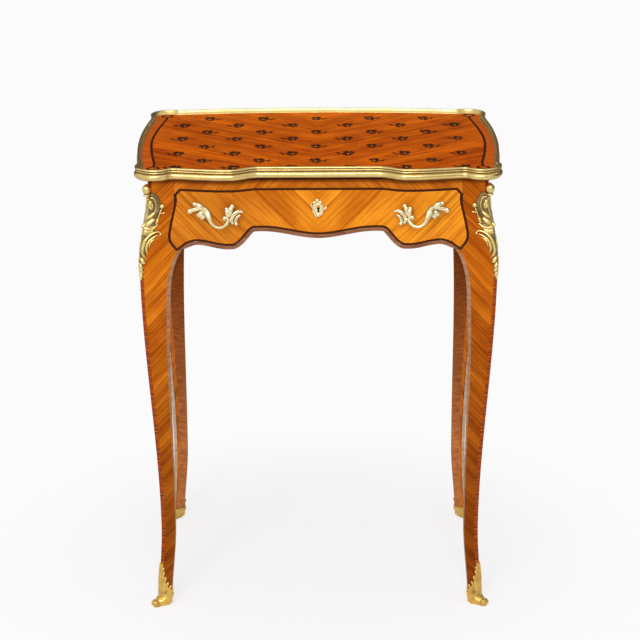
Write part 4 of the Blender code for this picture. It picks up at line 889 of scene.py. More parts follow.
def make_top(chosen, finishes):
    """The veneered board inside the rim, and the lines, rings and sprigs let into it."""
    loop, _ = rim_outline()
    board = loop - outward(loop) * (RIM_THICKNESS + GAP)
    levels = (BOARD_BOTTOM, 0.018), (TABLE_HEIGHT - RIM_HEIGHT, 0.0), (FIELD - 0.0002, 0.0), (FIELD, 0.0002)
    shell = Shell()
    shell.tube(np.stack([at_height(board - outward(board) * inset, z) for z, inset in levels]))
    shell.make("top_marquetry", "carcass", "marquetry_veneer", [finishes["top_field"]], ["top_board"])
    half = chosen.sizes.top_line / 2
    lines = Shell()
    y = np.linspace(-0.1515, 0.1650, 90)
    bow = TOP_LINE_BOW * np.abs((y - TOP_LINE_MIDDLE) / TOP_LINE_REACH) ** TOP_LINE_POWER
    x = np.maximum(TOP_LINE_OUT - bow, TOP_LINE_IN)
    for side in (-1, 1):
        lines.tube(flat_band(join(side * (x + half), y), join(side * (x - half), y)))
    turn = join(np.cos(turns(64)), np.sin(turns(64)))
    for ear in ((-0.250, -0.1622), (0.250, -0.1622), (-0.2504, 0.1756), (0.2504, 0.1756)):
        lines.grid(flat_band(ear + turn * 0.0104, ear + turn * 0.0062), ring=True, loop=True)
    lines.make("top_lines", "carcass", "marquetry_veneer", [finishes["stringing"]])
    make_sprigs(chosen.sizes, finishes)


def make_sprigs(sizes, finishes):
    """Sprigs of dark wood with pale hearts, scattered on the lattice and cut off at the side lines."""
    chance = np.random.default_rng(41)
    leaves = np.stack([leaf_rings(*leaf) for leaf in SPRIG]) * sizes.sprig_scale / MM
    dark, hearts = Shell(), Shell()
    across, along = np.cos(turns(14)), np.sin(turns(14))
    radius = 0.0013 * np.array([1.0, 1.0, 0.55])[:, None]
    level = FIELD + np.array([-0.0002, 0.00014, 0.0002])[:, None]
    for x, y, way in sprig_places():
        turn = chance.normal(0.0, 0.10)
        size = 1.0 + chance.normal(0.0, 0.05)
        c, s = math.cos(turn) * size, math.sin(turn) * size
        spot = np.array([x - way * 0.002, y]) + chance.normal(0.0, 0.0006, 2)
        for leaf in leaves:
            u, v = leaf[..., 0] * way, leaf[..., 1]
            plan = join(u * c - v * s, u * s + v * c) + spot
            u, v = plan[..., 0], plan[..., 1]
            side, front, back = rim_side(v) - 0.0250, 0.0086 - rim_front(u), rim_back(u) - 0.0086
            inside = (np.abs(u) < side) & (v > front) & (v < back)
            if inside.mean() < 0.35:
                continue
            dark.tube(join(np.clip(u, -side, side), np.clip(v, front, back), FIELD + leaf[..., 2]))
        if abs(spot[0]) < rim_side(spot[1]) - 0.028 and abs(spot[1]) < 0.172:
            hearts.tube(join(spot[0] + radius * across, spot[1] - 0.0030 + 1.8 * radius * along, level))
    dark.make("top_sprigs", "carcass", "marquetry_veneer", [finishes["sprig_wood"]], weld=1e-6)
    hearts.make("top_sprig_hearts", "carcass", "marquetry_veneer", [finishes["sprig_heart"]], weld=1e-6)


def rim_profile():
    """The rim cut across, in millimetres out from its outer line and up: torus, cove, reed and rounded lip."""

    def bow(out, up, wide, tall, first, last, count):
        angle = np.radians(np.linspace(first, last, count))
        return np.stack([out + wide * np.cos(angle), up + tall * np.sin(angle)], axis=1)

    return np.vstack(
        [
            [(-7.0, 0.0), (-3.4, 0.0), (-3.2, 0.5), (-2.7, 0.8)],
            bow(-3.0, 5.2, 3.0, 4.2, -72, 72, 16),
            bow(-1.6, 11.0, -2.6, -1.1, 60, -50, 6),
            [(-3.9, 11.0), (-3.9, 11.5)],
            bow(-3.3, 12.75, 1.5, 1.15, -66, 66, 9),
            [(-3.9, 14.1), (-3.9, 14.6)],
            bow(-3.6, 16.3, 2.3, 1.7, -48, 90, 12),
            bow(-4.2, 16.6, 1.2, 1.4, 96, 150, 5),
            [(-5.8, 15.8), (-6.8, 14.4), (-8.0, 12.9), (-9.0, 11.75), (-9.1, 11.56), (-7.0, 11.53)],
        ]
    )


def make_rim(chosen, finishes):
    """The moulded brass rim, its profile carried along each of eight lengths, and the pins that hold it."""
    loop, joints = rim_outline()
    normal = outward(loop)
    out, rise = rim_profile().T / MM
    up = TABLE_HEIGHT - RIM_HEIGHT + rise
    # Painted shade: darker in the grooves of the outer face, a painted dark reflection over the inner face, and a
    # painted shadow along the underside.
    hollow = np.clip(-(out + 0.0012) / 0.0028, 0.0, 1.0) * (rise < 0.0155)
    hollow = np.where(out < -0.0046, 0.46, hollow)
    hollow[rise < 0.0012] = 1.0
    for name, (first, last) in joints.items():
        index = np.arange(first, last + 1) % len(loop)
        line, away = loop[index], normal[index]
        line[0] += unit(line[1] - line[0]) * GAP / 2
        line[-1] += unit(line[-2] - line[-1]) * GAP / 2
        shell = Shell()
        shell.tube(at_height(line[:, None] + away[:, None] * out[None, :, None], up), hollow=hollow)
        shell.make(name + "_moulding", "carcass", "gilt_brass", [finishes["rim_brass"]], [name])
    pins = Shell()
    points, hollow = turned((0, 0, 0), [(0.0, -3.2), (0.9, -3.2), (0.9, -0.35), (0.6, -0.05), (0.0, 0.0)], 14)
    places = [(0.0, -rim_front(0.0), (0.0, -1.0)), (0.0, rim_back(0.0), (0.0, 1.0))]
    places += [(side * rim_side(0.0), 0.0, (side, 0.0)) for side in (-1, 1)]
    for x, y, way in places:
        aside = np.array([-way[1], way[0]])
        plan = np.array([x, y]) + points[..., :1] * aside + points[..., 2:] * np.array(way)
        pins.grid(at_height(plan, TABLE_HEIGHT - 0.0128 + points[..., 1]), 0, None, hollow, ring=True)
    pins.make("rim_pins", "carcass", "gilt_brass", [finishes["pale_gilt"]])


def board(shell, x, face, edge, inner, bevel, turn):
    """A frieze board: its face follows a plan curve and its lower edge a profile with a bevel.

    Columns run along the board; rows go up the face, over the top, down the back and under. turn takes plan
    points, drawn with the face towards -Y, to the board's own side of the table.
    """
    rows = shares(26)[:, None]
    few = rows[::5]
    low, depth = edge(x), -face(x)
    foot = depth + bevel[1]

    def stand(y, z):
        return at_height(join(x, y) @ turn, z)

    start = raised_edge(edge, x, bevel[0])
    z = mix(start, FRAME_TOP, rows)
    shell.grid(stand(depth, z), 0, join(x, z))
    z = mix(low, start, few)
    shell.grid(stand(mix(foot, depth, few), z), 1, join(x, z))
    z = mix(low, FRAME_TOP, rows)
    shell.grid(stand(-inner, z), 2, join(x, z))
    shell.grid(stand(mix(foot, -inner, few), low), 2)
    shell.grid(stand(mix(depth, -inner, few), FRAME_TOP), 2)
    for end in (0, -1):
        face_z = np.concatenate([[low[end]], mix(start[end], FRAME_TOP, rows[:, 0])])
        face_y = np.concatenate([[foot[end]], np.full(len(rows), depth[end])])
        near = join(x[end], face_y)
        sheet = mix(near, near * (1, 0) + (0, -inner), shares(7)[:, None, None]) @ turn
        shell.grid(at_height(sheet, face_z), 2)


def turned_plan(degrees):
    """Turns plan points, as rows, about the middle of the table."""
    c, s = math.cos(math.radians(degrees)), math.sin(math.radians(degrees))
    return np.array([[c, s], [-s, c]])


def make_frieze(chosen, finishes):
    """The side and back aprons, the stringing let into them, and the rail over the drawer."""
    sizes = chosen.sizes
    woods = [finishes[name] for name in ("drawer_veneer", "edge_bevel", "carcass_back")]
    side = STILE_Y - GAP, frieze_side, side_edge, frieze_side(STILE_Y) - APRON_THICKNESS
    back = STILE_X - GAP, frieze_back, back_edge, frieze_back(STILE_X) - APRON_THICKNESS
    aprons = ("apron_right", 90, side), ("apron_back", 180, back), ("apron_left", -90, side)
    for name, degrees, (half, face, edge, inner) in aprons:
        shell = Shell()
        turn, bevel = turned_plan(degrees), (sizes.bevel_height, sizes.bevel_depth)
        board(shell, np.linspace(-half, half, 181), face, edge, inner, bevel, turn)
        shell.make(name + "_veneered", "carcass", "tulipwood_veneer", woods, [name])
        x = np.linspace(-half + 0.004, half - 0.004, 140)
        low = raised_edge(edge, x, sizes.bevel_height + 0.0004)
        rise = np.linspace(low[-1], LINE_TOP, 30)[1:]
        runs = (x, low), (x[-1], rise), (x[-2::-1], LINE_TOP), (x[0], rise[-2::-1])
        loop = np.vstack([join(*run) for run in runs])
        string_loop(name + "_line", loop, sizes.frieze_line, face, turn, "carcass", finishes)
    make_rail(finishes)


def string_loop(name, loop, width, face, turn, body, finishes):
    """A dark line round a frieze panel: the band between an outline and its inset, laid on the face."""
    rows = mix(loop, loop - outward(loop) * width, shares(5)[:, None, None])

    def laid(points, lift):
        return at_height(join(points[..., 0], -face(points[..., 0]) - lift) @ turn, points[..., 1])

    ring = np.concatenate([laid(rows, LINE_LIFT), laid(rows[::-1], -LINE_DEPTH)])
    shell = Shell()
    shell.grid(np.swapaxes(ring, 0, 1), ring=True, loop=True)
    shell.make(name, body, "tulipwood_veneer", [finishes["stringing"]])


def make_rail(finishes):
    """The rail over the drawer: its ends drop into the notches at the drawer's upper corners."""
    end_run = np.linspace(RAIL_NOTCH, STILE_X - GAP, 9)[1:]
    x = np.concatenate([-end_run[::-1], np.linspace(-RAIL_NOTCH, RAIL_NOTCH, 201), end_run])
    low = RAIL_BOTTOM - np.maximum(np.abs(x) - RAIL_NOTCH, 0.0) * RAIL_SLOPE
    depth, rows = -frieze_front(x), shares(7)[:, None]
    y, z = mix(depth, -RAIL_BACK, rows), mix(low, FRAME_TOP, rows)
    shell = Shell()
    shell.grid(join(x, depth, z), 0, join(x, z))
    shell.grid(join(x, -RAIL_BACK, z), 1, join(x, z))
    shell.grid(join(x, y, low), 1)
    shell.grid(join(x, y, FRAME_TOP), 1)
    for end in (0, -1):
        shell.grid(join(x[end], y[:, end], z[:, end, None]), 1)
    woods = [finishes["rail_veneer"], finishes["carcass_back"]]
    shell.make("top_rail_veneered", "carcass", "tulipwood_veneer", woods, ["front_top_rail"])


def keyhole(count, radius=2.6, rise=0.0, half=1.3, foot=-7.9):
    """Keyhole outline in millimetres about the lock's middle: a round over a slot, from the right going up."""
    gap = math.asin(half / radius)
    angle = np.linspace(-math.pi / 2 + gap, 1.5 * math.pi - gap, 40)
    slot = [(-half, foot + 0.5), (-0.7 * half, foot), (0.7 * half, foot), (half, foot + 0.5)]
    loop = np.vstack([join(radius * np.cos(angle), rise + radius * np.sin(angle)), slot])
    turn = np.arctan2(loop[:, 1] - (rise + foot) / 4, loop[:, 0])
    loop = np.roll(loop, -int(np.argmin(np.abs(turn))), axis=0)
    return even(np.vstack([loop, loop[:1]]), count + 1)[:-1]


def make_drawer_front(chosen, finishes):
    """The serpentine drawer front with S-curved ends: columns are shares of its half width at each height."""
    sizes = chosen.sizes
    share = np.linspace(-1.0, 1.0, 321)
    rows = shares(58)[:, None]
    few = rows[::9]
    low = drawer_edge(share * 0.21)
    for _ in range(80):
        low = mix(low, drawer_edge(share * drawer_half(low)), 0.6)
    start = low + 0.002
    for _ in range(40):
        start = mix(start, bevel_line(sizes, share * drawer_half(start)), 0.6)

    def stand(z, y=None):
        x = share * drawer_half(z)
        return join(x, -frieze_front(x) if y is None else y, z)

    shell = Shell()
    z = mix(start, DRAWER_TOP, rows)
    front, back = stand(z), stand(z, -FRONT_BACK_FACE)
    hole = (np.abs(front[..., 0]) < 0.0062) & (np.abs(front[..., 2] - LOCK_HEIGHT + 0.002) < 0.0085)
    pierce(shell, front, back, hole)
    foot = stand(low)[:, 1] + sizes.bevel_depth
    z = mix(low, start, few)
    bevel, behind = stand(z, mix(foot, stand(start)[:, 1], few)), stand(z, -FRONT_BACK_FACE)
    shell.grid(bevel, 1, bevel[..., ::2])
    shell.grid(behind, 2)
    shell.grid(stand(low, mix(foot, -FRONT_BACK_FACE, few)), 2)
    shell.grid(mix(front[-1:], back[-1:], few[..., None]), 2)
    whole_front, whole_back = np.concatenate([bevel[:-1], front]), np.concatenate([behind[:-1], back])
    for end in (0, -1):
        shell.grid(mix(whole_front[None, :, end], whole_back[None, :, end], few[..., None]), 2)
    woods = [finishes[name] for name in ("drawer_veneer", "edge_bevel", "oak_wide")]
    shell.make("drawer_front_veneered", "drawer", "tulipwood_veneer", woods, ["drawer_front"])
    make_drawer_line(sizes, finishes)


def pierce(shell, front, back, hole):
    """Two facing grids with the keyhole through both: a rectangle of cells is left out and filled by rings.

    The rings run from the rectangle's rim to the keyhole's outline, point by point, and on through the board.
    """
    rows, columns = np.where(hole)
    top, left, bottom, right = rows.min(), columns.min(), rows.max(), columns.max()
    edge = [(top, c) for c in range(left, right)] + [(r, right) for r in range(top, bottom)]
    edge += [(bottom, c) for c in range(right, left, -1)] + [(r, left) for r in range(bottom, top, -1)]
    rim = front[tuple(np.transpose(edge))][:, ::2]
    middle = np.array([0.0, LOCK_HEIGHT])
    outline = keyhole(len(edge)) / MM + middle
    turn = np.arctan2(*(rim - middle + (0.0, 0.002)).T[::-1])
    rim = rim[np.argsort(np.mod(turn, 2 * math.pi))]
    patch = mix(rim, outline, shares(5)[:, None, None])
    for points, finish in ((front, 0), (back, 2)):
        index = shell.grid(points, finish, points[..., ::2])
        cells = np.ones(np.subtract(index.shape, 1), bool)
        cells[top:bottom, left:right] = False
        shell.quads[-1] = shell.quads[-1][cells.ravel()]
        shell.finish[-1] = shell.finish[-1][cells.ravel()]
        shell.grid(join(patch[..., 0], points[top, left, 1], patch[..., 1]), finish, patch, ring=True)
    depth = mix(front[top, left, 1], back[top, left, 1], shares(6))[:, None]
    shell.grid(join(outline[:, 0], depth, outline[:, 1]), 2, ring=True)


def bevel_line(sizes, x):
    """Upper line of the drawer front's bevel: its edge moved up square to itself, less towards the corners."""
    height = sizes.bevel_height * mix(1.0, 0.12, smooth((np.abs(x) - 0.200) / 0.0195))
    return raised_edge(drawer_edge, x, height)


def make_drawer_line(sizes, finishes):
    """The dark line round the drawer front: its top, its S-curved ends and its shaped lower edge."""
    x = np.linspace(-0.2192, 0.2192, 400)
    low = join(x, bevel_line(sizes, x))
    side = even(DRAWER_END[1:-1], 90)
    side = side[side[:, 1] > low[-1, 1] + 0.0012]
    right = np.vstack([side[::-1], np.linspace(DRAWER_END[1], DRAWER_END[0], 6)[1:]])
    across = np.linspace(DRAWER_END[0, 0], -DRAWER_END[0, 0], 300)[1:-1]
    loop = np.vstack([low, right, join(across, DRAWER_TOP), right[::-1] * (-1, 1)])
    string_loop("drawer_line", loop, sizes.drawer_line, frieze_front, np.eye(2), "drawer", finishes)


def make_legs(chosen, finishes):
    """Cabriole legs: level sections from foot to frame, each face its own grid, rebated for the drawer."""
    spans = [(FOOT_BOTTOM, 0.14, 36), (0.14, FLARE, 70), (FLARE, 0.592, 44), (0.592, BRACKET, 40)]
    spans += [(BRACKET + 0.00002, 0.606, 12), (0.606, 0.6838, 50), (0.6838, 0.6846, 3), (0.6846, FRAME_TOP, 16)]
    z = np.unique(np.concatenate([np.linspace(*span) for span in spans]))
    names = ("leg_veneer", "arris_band", "side_bevel", "carcass_back", "inner_leg", "front_bevel")
    veneered, arris, side_bevel, ends, inner, front_bevel = range(len(names))
    woods = [finishes[name] for name in names]
    for corner, (side_x, side_y) in CORNERS.items():
        spots = leg_corners(z, side_y)
        front_inner, front_arris, side_arris, side_inner, bevel_side, bevel_front = np.moveaxis(spots, 1, 0)
        step_in, step_out = mix(bevel_front, front_inner, 1 / 3), mix(bevel_front, front_inner, 2 / 3)
        if side_y < 0:
            opening = drawer_half(z) + DRAWER_CLEARANCE
            cut = (z > DRAWER_END[-1, 1]) & (z < DRAWER_TOP) & (opening > front_inner[:, 0])
            share = (opening - front_inner[:, 0]) / (front_arris[:, 0] - front_inner[:, 0])
            moved = mix(front_inner, front_arris, share[:, None])
            front_inner = np.where(cut[:, None], moved, front_inner)
            deep = np.minimum(REBATE, front_inner[:, 1])
            step_out = np.where(cut[:, None], join(front_inner[:, 0], deep), step_out)
            corner_in = join(bevel_front[:, 0], np.maximum(deep, bevel_front[:, 1]))
            step_in = np.where(cut[:, None], corner_in, step_in)
        runs = [
            (front_inner, front_arris, 9, veneered),
            (front_arris, side_arris, 4, arris),
            (side_arris, side_inner, 9, veneered),
            (side_inner, bevel_side, 3, side_bevel),
            (bevel_side, bevel_front, 9, inner),
            (bevel_front, step_in, 2, front_bevel),
            (step_in, step_out, 2, front_bevel),
            (step_out, front_inner, 2, front_bevel),
        ]
        shell, ring = Shell(), []
        for first, last, count, finish in runs:
            share = shares(count)[None, :, None]
            plan = mix(first[:, None], last[:, None], share)
            if finish == arris:
                plan = plan + np.sin(math.pi * share) * ARRIS_SWELL * DIAGONAL
            edges = (first, first) if finish == inner else (front_arris, side_arris)
            near = np.minimum(*(np.linalg.norm(plan - edge[:, None], axis=-1) for edge in edges))
            points = at_height(plan * (side_x, side_y), z[:, None])
            shell.grid(points, finish, join(near, z[:, None]))
            ring.append(points[:, :-1])
        ring = np.concatenate(ring, axis=1)
        shell.cap(ring[0], ends)
        shell.cap(ring[-1], ends)
        name = f"leg_{corner}"
        shell.make(name + "_veneered", "carcass", "tulipwood_veneer", woods, [name], sharp=32.0)


def leg_surface(side_x, side_y, extra):
    """Places a design drawn on the two faces of a leg: along from the arris, up the leg and out from it.

    The way out turns from the diagonal, at the middle of the arris, to square with the face.
    """
    half = ARRIS_CHAMFER / math.sqrt(2.0)

    def place(points):
        s, z, h = np.moveaxis(points, -1, 0)
        front_inner, front_arris, side_arris, side_inner = np.moveaxis(leg_corners(z, side_y), -2, 0)[:4]
        front = (s >= 0)[..., None]
        start = np.where(front, front_arris, side_arris)
        way = unit(np.where(front, front_inner - front_arris, side_inner - side_arris))
        normal = join(way[..., 1], -way[..., 0])
        normal = normal * np.sign(normal.sum(-1, keepdims=True))
        length = np.abs(s)[..., None]
        base = mix((front_arris + side_arris) / 2, start, np.minimum(length / half, 1.0))
        base = base + way * np.maximum(length - half, 0.0)
        normal = unit(mix(DIAGONAL, normal, smooth(length / 0.009)))
        plan = base + normal * (h + extra(s, z))[..., None]
        return at_height(plan * (side_x, side_y), z)

    return place


def lay(shell, surface, design, mirrored=None):
    """Puts drawn forms on a surface, and their mirror images where a share of the relief is given for them."""
    ways = ((1, 1.0),) if mirrored is None else ((1, 1.0), (-1, mirrored))
    for points, hollow in design:
        for way, rise in ways:
            shell.tube(surface(points * (way, 1.0, rise)), 0, hollow)


def chute_design():
    """The corner mount in millimetres, along a face and down from the frame: first what repeats on both faces.

    Each form is a path, its half width, its rise and its painted shade and grime: grounds and scroll painted dark as
    shade, leaves and ribs left bright.
    """
    # Painted shade: the grounds and the big scroll are painted dark, the collar and neck dimmed.
    pairs = reliefs([
        ([(4.5, 20), (8.5, 34), (10, 48), (10, 66)], [4, 7, 8.5, 8.5, 7.5], 1.0, 0.9),
        ([(19, 30), (19.8, 38), (18.6, 50), (16, 60)], [1.5, 3, 3, 2], 0.8, 1.0),
        ([(9, 70), (8.5, 82), (5.5, 96), (5, 112)], [8, 7, 5, 4, 2.5], 1.2, 0.95),
        ([(2, 113), (2.4, 128), (1.6, 146)], [3.4, 3.0, 1.6], 0.8, 0.95),
        ([(1.4, 21.4), (5.2, 17.4), (9.8, 19.2), (14, 24.8), (16.4, 32.4), (16.5, 40), (15, 48.1), (12, 55)],
         [1.4, 2.6, 3.0, 3.2, 3.2, 3.0, 2.4, 1.2], [2.6, 3.8, 4.2, 4.2, 4.0, 3.6, 2.8, 1.6], 0.86),
        ([(4.6, 21.8), (8.4, 22.6), (11.4, 27.4), (13, 34), (12.9, 41), (11.4, 48)],
         [1.45], [3.2, 4.2, 4.6, 4.4, 4.0, 3.0], 0.15),
        ([(6.4, 40), (4.8, 34), (5.0, 28.5), (4.2, 25)], 2.5, 4.0, 0.05),
        ([(6.4, 30.6), (8.0, 35), (6.8, 41)], 1.4, 3.4, 0.35),
        ([(3.0, 53.8), (7.7, 49.6), (13.2, 43.6)], 2.9, 3.8, 0.0),
        ([(3.4, 64.6), (8.3, 58.8), (14, 53.4)], 4.1, 4.4, 0.0),
        ([(17.6, 57), (19.4, 51), (20.2, 45.4), (21.8, 39.6)], [1.5, 1.7, 1.8, 2.2], [3.2, 3.8, 4.0, 4.4], 0.05),
        ([(20.8, 46.6), (23.4, 46.4), (26, 46)], [1.1], 2.2, 0.3),
        ([(16.6, 63), (18.4, 57.8), (18.2, 53)], 2.8, 4.4, 0.0),
        ([(1.2, 66.8), (8.2, 69.4), (15.4, 68), (20.6, 63.4)], [2.6, 2.9, 2.6, 1.2], [3.4, 3.6, 3.2, 1.4], 0.5),
        ([(2.0, 74), (8, 75.4), (14.6, 73.4)], [4.2, 4.4, 3.0], [2.0, 2.2, 1.8], 0.54),
        ([(27.2, 78.6), (26, 76), (22.6, 74.4), (16.1, 75.2), (9.3, 79.5), (5.5, 85.8), (4.1, 93.1), (3.4, 101.8),
          (5, 108.5), (9.7, 115.6)], [1.5, 1.8, 2.0, 2.1, 2.1, 2.1, 2.0, 1.9, 1.6, 0.6],
         [3.0, 3.4, 3.8, 4.0, 4.0, 4.0, 3.8, 3.4, 2.8, 1.2], 0.0),
        ([(24, 79.6), (19, 81), (13.6, 84.2), (9.8, 88.6), (8.2, 94), (8.1, 100.4), (10.6, 108.4)],
         [0.9, 1.8, 2.2, 2.3, 2.2, 1.9, 0.8], [2.4, 3.4, 3.8, 4.0, 3.8, 3.2, 1.2], 0.0),
        ([(20.6, 84.6), (16.6, 86.2), (13.4, 89.6), (12, 94), (12, 99)],
         [0.5, 1.6, 1.9, 1.7, 0.6], [1.2, 2.6, 3.0, 2.8, 1.2], 0.1),
        ([(2.2, 113), (4.6, 117.5), (7.0, 123.4)], 2.8, 4.2, 0.05),
        ([(0.6, 121.5), (2.3, 126), (4.8, 130.6)], 2.5, 3.8, 0.05),
        ([(0.4, 129), (2.8, 133.4), (4.4, 137.6)], 2.1, 3.2, 0.1),
        ([(0.2, 136), (2.2, 140), (3.6, 144.4)], 1.6, 2.4, 0.1),
        ([(0.2, 22.4), (1.2, 24.4), (3.2, 26.4)], 1.3, 2.6, 0.0),
    ])
    pairs += [ball(22.2, 35.2, 2.4, 3.9), ball(26.2, 46, 1.2, 1.9), ball(26.8, 78.8, 1.6, 2.0)]
    # Painted shade: the grounds along the arris are painted dark.
    single = reliefs([
        ([(0, 19), (0, 42), (0, 64)], [2.6, 3.2, 3.2, 2.6], 1.0, 0.62),
        ([(0, 74), (0, 92), (0, 113)], [2.4, 2.6, 2.6, 1.6], 1.1, 0.8),
        ([(0, 61), (0, 69), (0, 78)], [3.0, 3.6, 3.2], 1.3, 0.55),
        ([(0, 141), (0, 145), (0, 149.6)], 1.7, 2.4, 0.1),
        ([(0, 15.4, 2.0), (0, 18, 4.2), (0, 20.4, 6.2)], [2.4, 1.9, 0.8], [1.6, 1.4, 0.8], 0.2),
        ([(0, 62.5, 2.2), (0, 65, 4.4), (0, 66.6, 6.8)], [2.2, 1.8, 0.9], [1.8, 1.5, 0.9], 0.3),
    ])
    single += [ball(0.0, 16.6, 3.2, 2.8)]
    return [
        [(points * (1.0, -1.0, 1.0) + (0.0, CHUTE_TOP, 0.0), hollow) for points, hollow in group]
        for group in (pairs, single)
    ]


def make_bud(shell, side_x, side_y):
    """The bud over a corner mount: a fluted egg and its collar, turned about an upright beside the arris."""
    profile = [(0.0, 12.8), (1.2, 12.2), (1.9, 11.0), (3.8, 9.5), (5.6, 7.0), (6.2, 3.8), (5.7, 0.6), (4.4, -1.8)]
    profile += [(3.2, -3.2), (4.0, -4.0), (4.7, -5.2), (4.2, -6.4), (2.6, -7.0), (0.0, -7.2)]
    profile = even(spline(profile, 5), 44)
    rise, angle = profile[:, 1:], turns(36)
    flute = 1.0 - 0.06 * (rise > -3.2) * (0.5 - 0.5 * np.cos(5 * angle))
    radius = profile[:, :1] * flute * 1.14 / MM
    middle = arris_out(np.float64(BUD_HEIGHT))
    x = side_x * (ARRIS_X + middle + 0.0012) + radius * np.cos(angle)
    y = side_y * (ARRIS_Y + middle + 0.0040) + radius * np.sin(angle)
    # Painted shade and grime in the flutes and round the neck of the collar.
    hollow = np.clip((1.0 - flute) * 8.0 + (np.abs(rise + 3.2) < 0.6), 0.0, 1.0)
    shell.grid(join(x, y, BUD_HEIGHT + rise / MM), 0, None, hollow, ring=True)


def make_chutes(chosen, finishes):
    """Cast corner mounts: scrolls, leaves, husks and a bud, the same on both faces of each leg."""
    pairs, single = chute_design()
    for corner, sides in CORNERS.items():
        surface = leg_surface(*sides, lambda s, z: CHUTE_LIFT)
        shell = Shell()
        lay(shell, surface, pairs, 0.5)
        lay(shell, surface, single)
        make_bud(shell, *sides)
        name = f"chute_{corner}"
        shell.make(name + "_cast", "carcass", "gilt_brass", [finishes["mount_gilt"]], [name], sharp=CAST_ANGLE)


# Height of a shoe's leafy upper edge, from its heel to its arris
SHOE_REACH = [0.0, 0.20, 0.38, 0.46, 0.56, 0.68, 0.78, 0.88, 0.95, 1.0]
SHOE_EDGE = [0.024, 0.015, 0.019, 0.027, 0.030, 0.034, 0.041, 0.052, 0.064, 0.070]


def sabot_spread(z):
    """How far the shoe stands out from the foot, and how far its toe is rolled out, at a height."""
    swell = 0.0012 + 0.0011 * (1.0 - smooth(z / 0.060))
    toe = 0.0078 * np.sqrt(np.clip(1.0 - (z / 0.0125) ** 2, 0.0, 1.0))
    return swell, toe


def shoe_face(s, z):
    """How far the shoe's face stands out from the leg's: its swell, and the toe within 12 mm of the arris."""
    swell, toe = sabot_spread(z)
    return swell - 0.0003 + 1.3 * toe * np.clip(1.0 - np.abs(s) / 0.012, 0.0, 1.0)


def foot_outline(z, grow, side_y):
    """The foot's six-sided section, grown, read at even places round it and then rounded off twice.

    Columns of z go round the foot, each at its own height.
    """
    column = np.broadcast_to(np.arange(z.shape[1]), z.shape)
    per = z.shape[1] // 6
    section = leg_corners(np.maximum(z, FOOT_BOTTOM), side_y)
    section = section + outward(section) * np.asarray(grow)[..., None, None]
    sides = [((column // per + step) % 6)[..., None, None] for step in (0, 1)]
    near, far = (np.take_along_axis(section, side, axis=-2)[..., 0, :] for side in sides)
    plan = mix(near, far, (column % per / per)[..., None])
    for _ in range(2):
        plan = (np.roll(plan, 1, axis=1) + 2 * plan + np.roll(plan, -1, axis=1)) / 4
    return plan


def make_sabots(chosen, finishes):
    """Cast shoes: a shell close round the foot with a leafy upper edge, blades on its faces and a rolled toe."""
    pairs = reliefs([
        ([(6.6, 39.4), (7.8, 44.6), (9.0, 49.6)], 2.3, 2.0, 0.0),
        ([(9.8, 30.6), (11.4, 35.8), (12.8, 40.6)], 2.4, 2.0, 0.0),
        ([(14.0, 25.6), (16.0, 30.6), (17.6, 35.2)], 2.3, 1.9, 0.0),
        ([(17.6, 21.6), (19.4, 26.4), (20.8, 30.8)], 1.9, 1.7, 0.0),
        ([(3.8, 49.4), (5.0, 54.2), (6.0, 58.6)], 2.0, 1.9, 0.0),
        ([(2.6, 56.8), (3.8, 61.2), (4.6, 65.4)], 1.8, 1.8, 0.0),
        ([(1.2, 63.4), (2.0, 68), (2.4, 72.4)], 1.6, 1.7, 0.0),
        # These two carry painted shade: the toe leaf dimmed, and a small dark oval standing for a dent.
        ([(4.4, 8.0), (10.0, 12.6), (16.0, 12.6)], [2.6, 3.6, 2.0], [0.5, 0.8, 0.4], 0.42),
        ([(7.0, 21.0), (9.2, 22.6), (11.6, 21.4)], [1.6, 2.6, 1.6], [0.7, 0.9, 0.7], 0.8),
    ])
    single = [relief([(0, 13), (0, 40), (0, 68)], [2.2, 2.4, 2.0, 0.8], [0.8, 0.9, 0.9, 0.6], rings=44, shade_and_grime=0.2)]
    columns, up = 108, shares(44)[:, None]
    for corner, (side_x, side_y) in CORNERS.items():
        foot = foot_outline(np.full((1, columns), 0.03), 0.0, side_y)[0].sum(-1)
        reach = (foot - foot.min()) / np.ptp(foot)
        tip = np.interp(reach, SHOE_REACH, SHOE_EDGE)
        z = up * tip
        swell, toe = sabot_spread(z)
        edge = np.sqrt(np.clip(1.0 - np.clip((up - 0.94) / 0.06, 0.0, 1.0) ** 2, 0.0, 1.0))
        bulge = 0.0012 * np.exp(-(((z - 0.027) / 0.010) ** 2)) * (reach < 0.7)
        plan = foot_outline(z, (swell + bulge) * np.maximum(edge, 0.12), side_y) + (toe * reach**5)[..., None]
        tuck = 0.46 * (1.0 - smooth(z / 0.020)) ** 1.5 * (1.0 - reach)
        plan = mix(plan, plan.mean(axis=1, keepdims=True), tuck[..., None])
        inner_z = mix(tip, 0.0030, up[::6])
        inner = at_height(foot_outline(inner_z, 0.00015, side_y), inner_z)
        wall = np.concatenate([at_height(plan, z), inner]) * (side_x, side_y, 1.0)
        # Painted shade on the shoe: a darker patch low on its face, and darker towards the arris.
        painted_shade_patch = np.exp(-(((wall[..., 2] - 0.024) / 0.008) ** 2)) * np.exp(-(((reach - 0.74) / 0.13) ** 2))
        shell = Shell()
        shell.tube(wall, 0, 0.24 + 0.46 * painted_shade_patch + 0.30 * smooth((reach - 0.86) / 0.1))
        surface = leg_surface(side_x, side_y, shoe_face)
        lay(shell, surface, pairs, 1.0)
        lay(shell, surface, single)
        toe_roll(shell, side_x, side_y)
        name = f"sabot_{corner}"
        shell.make(name + "_cast", "carcass", "gilt_brass", [finishes["shoe_gilt"]], [name], sharp=CAST_ANGLE)


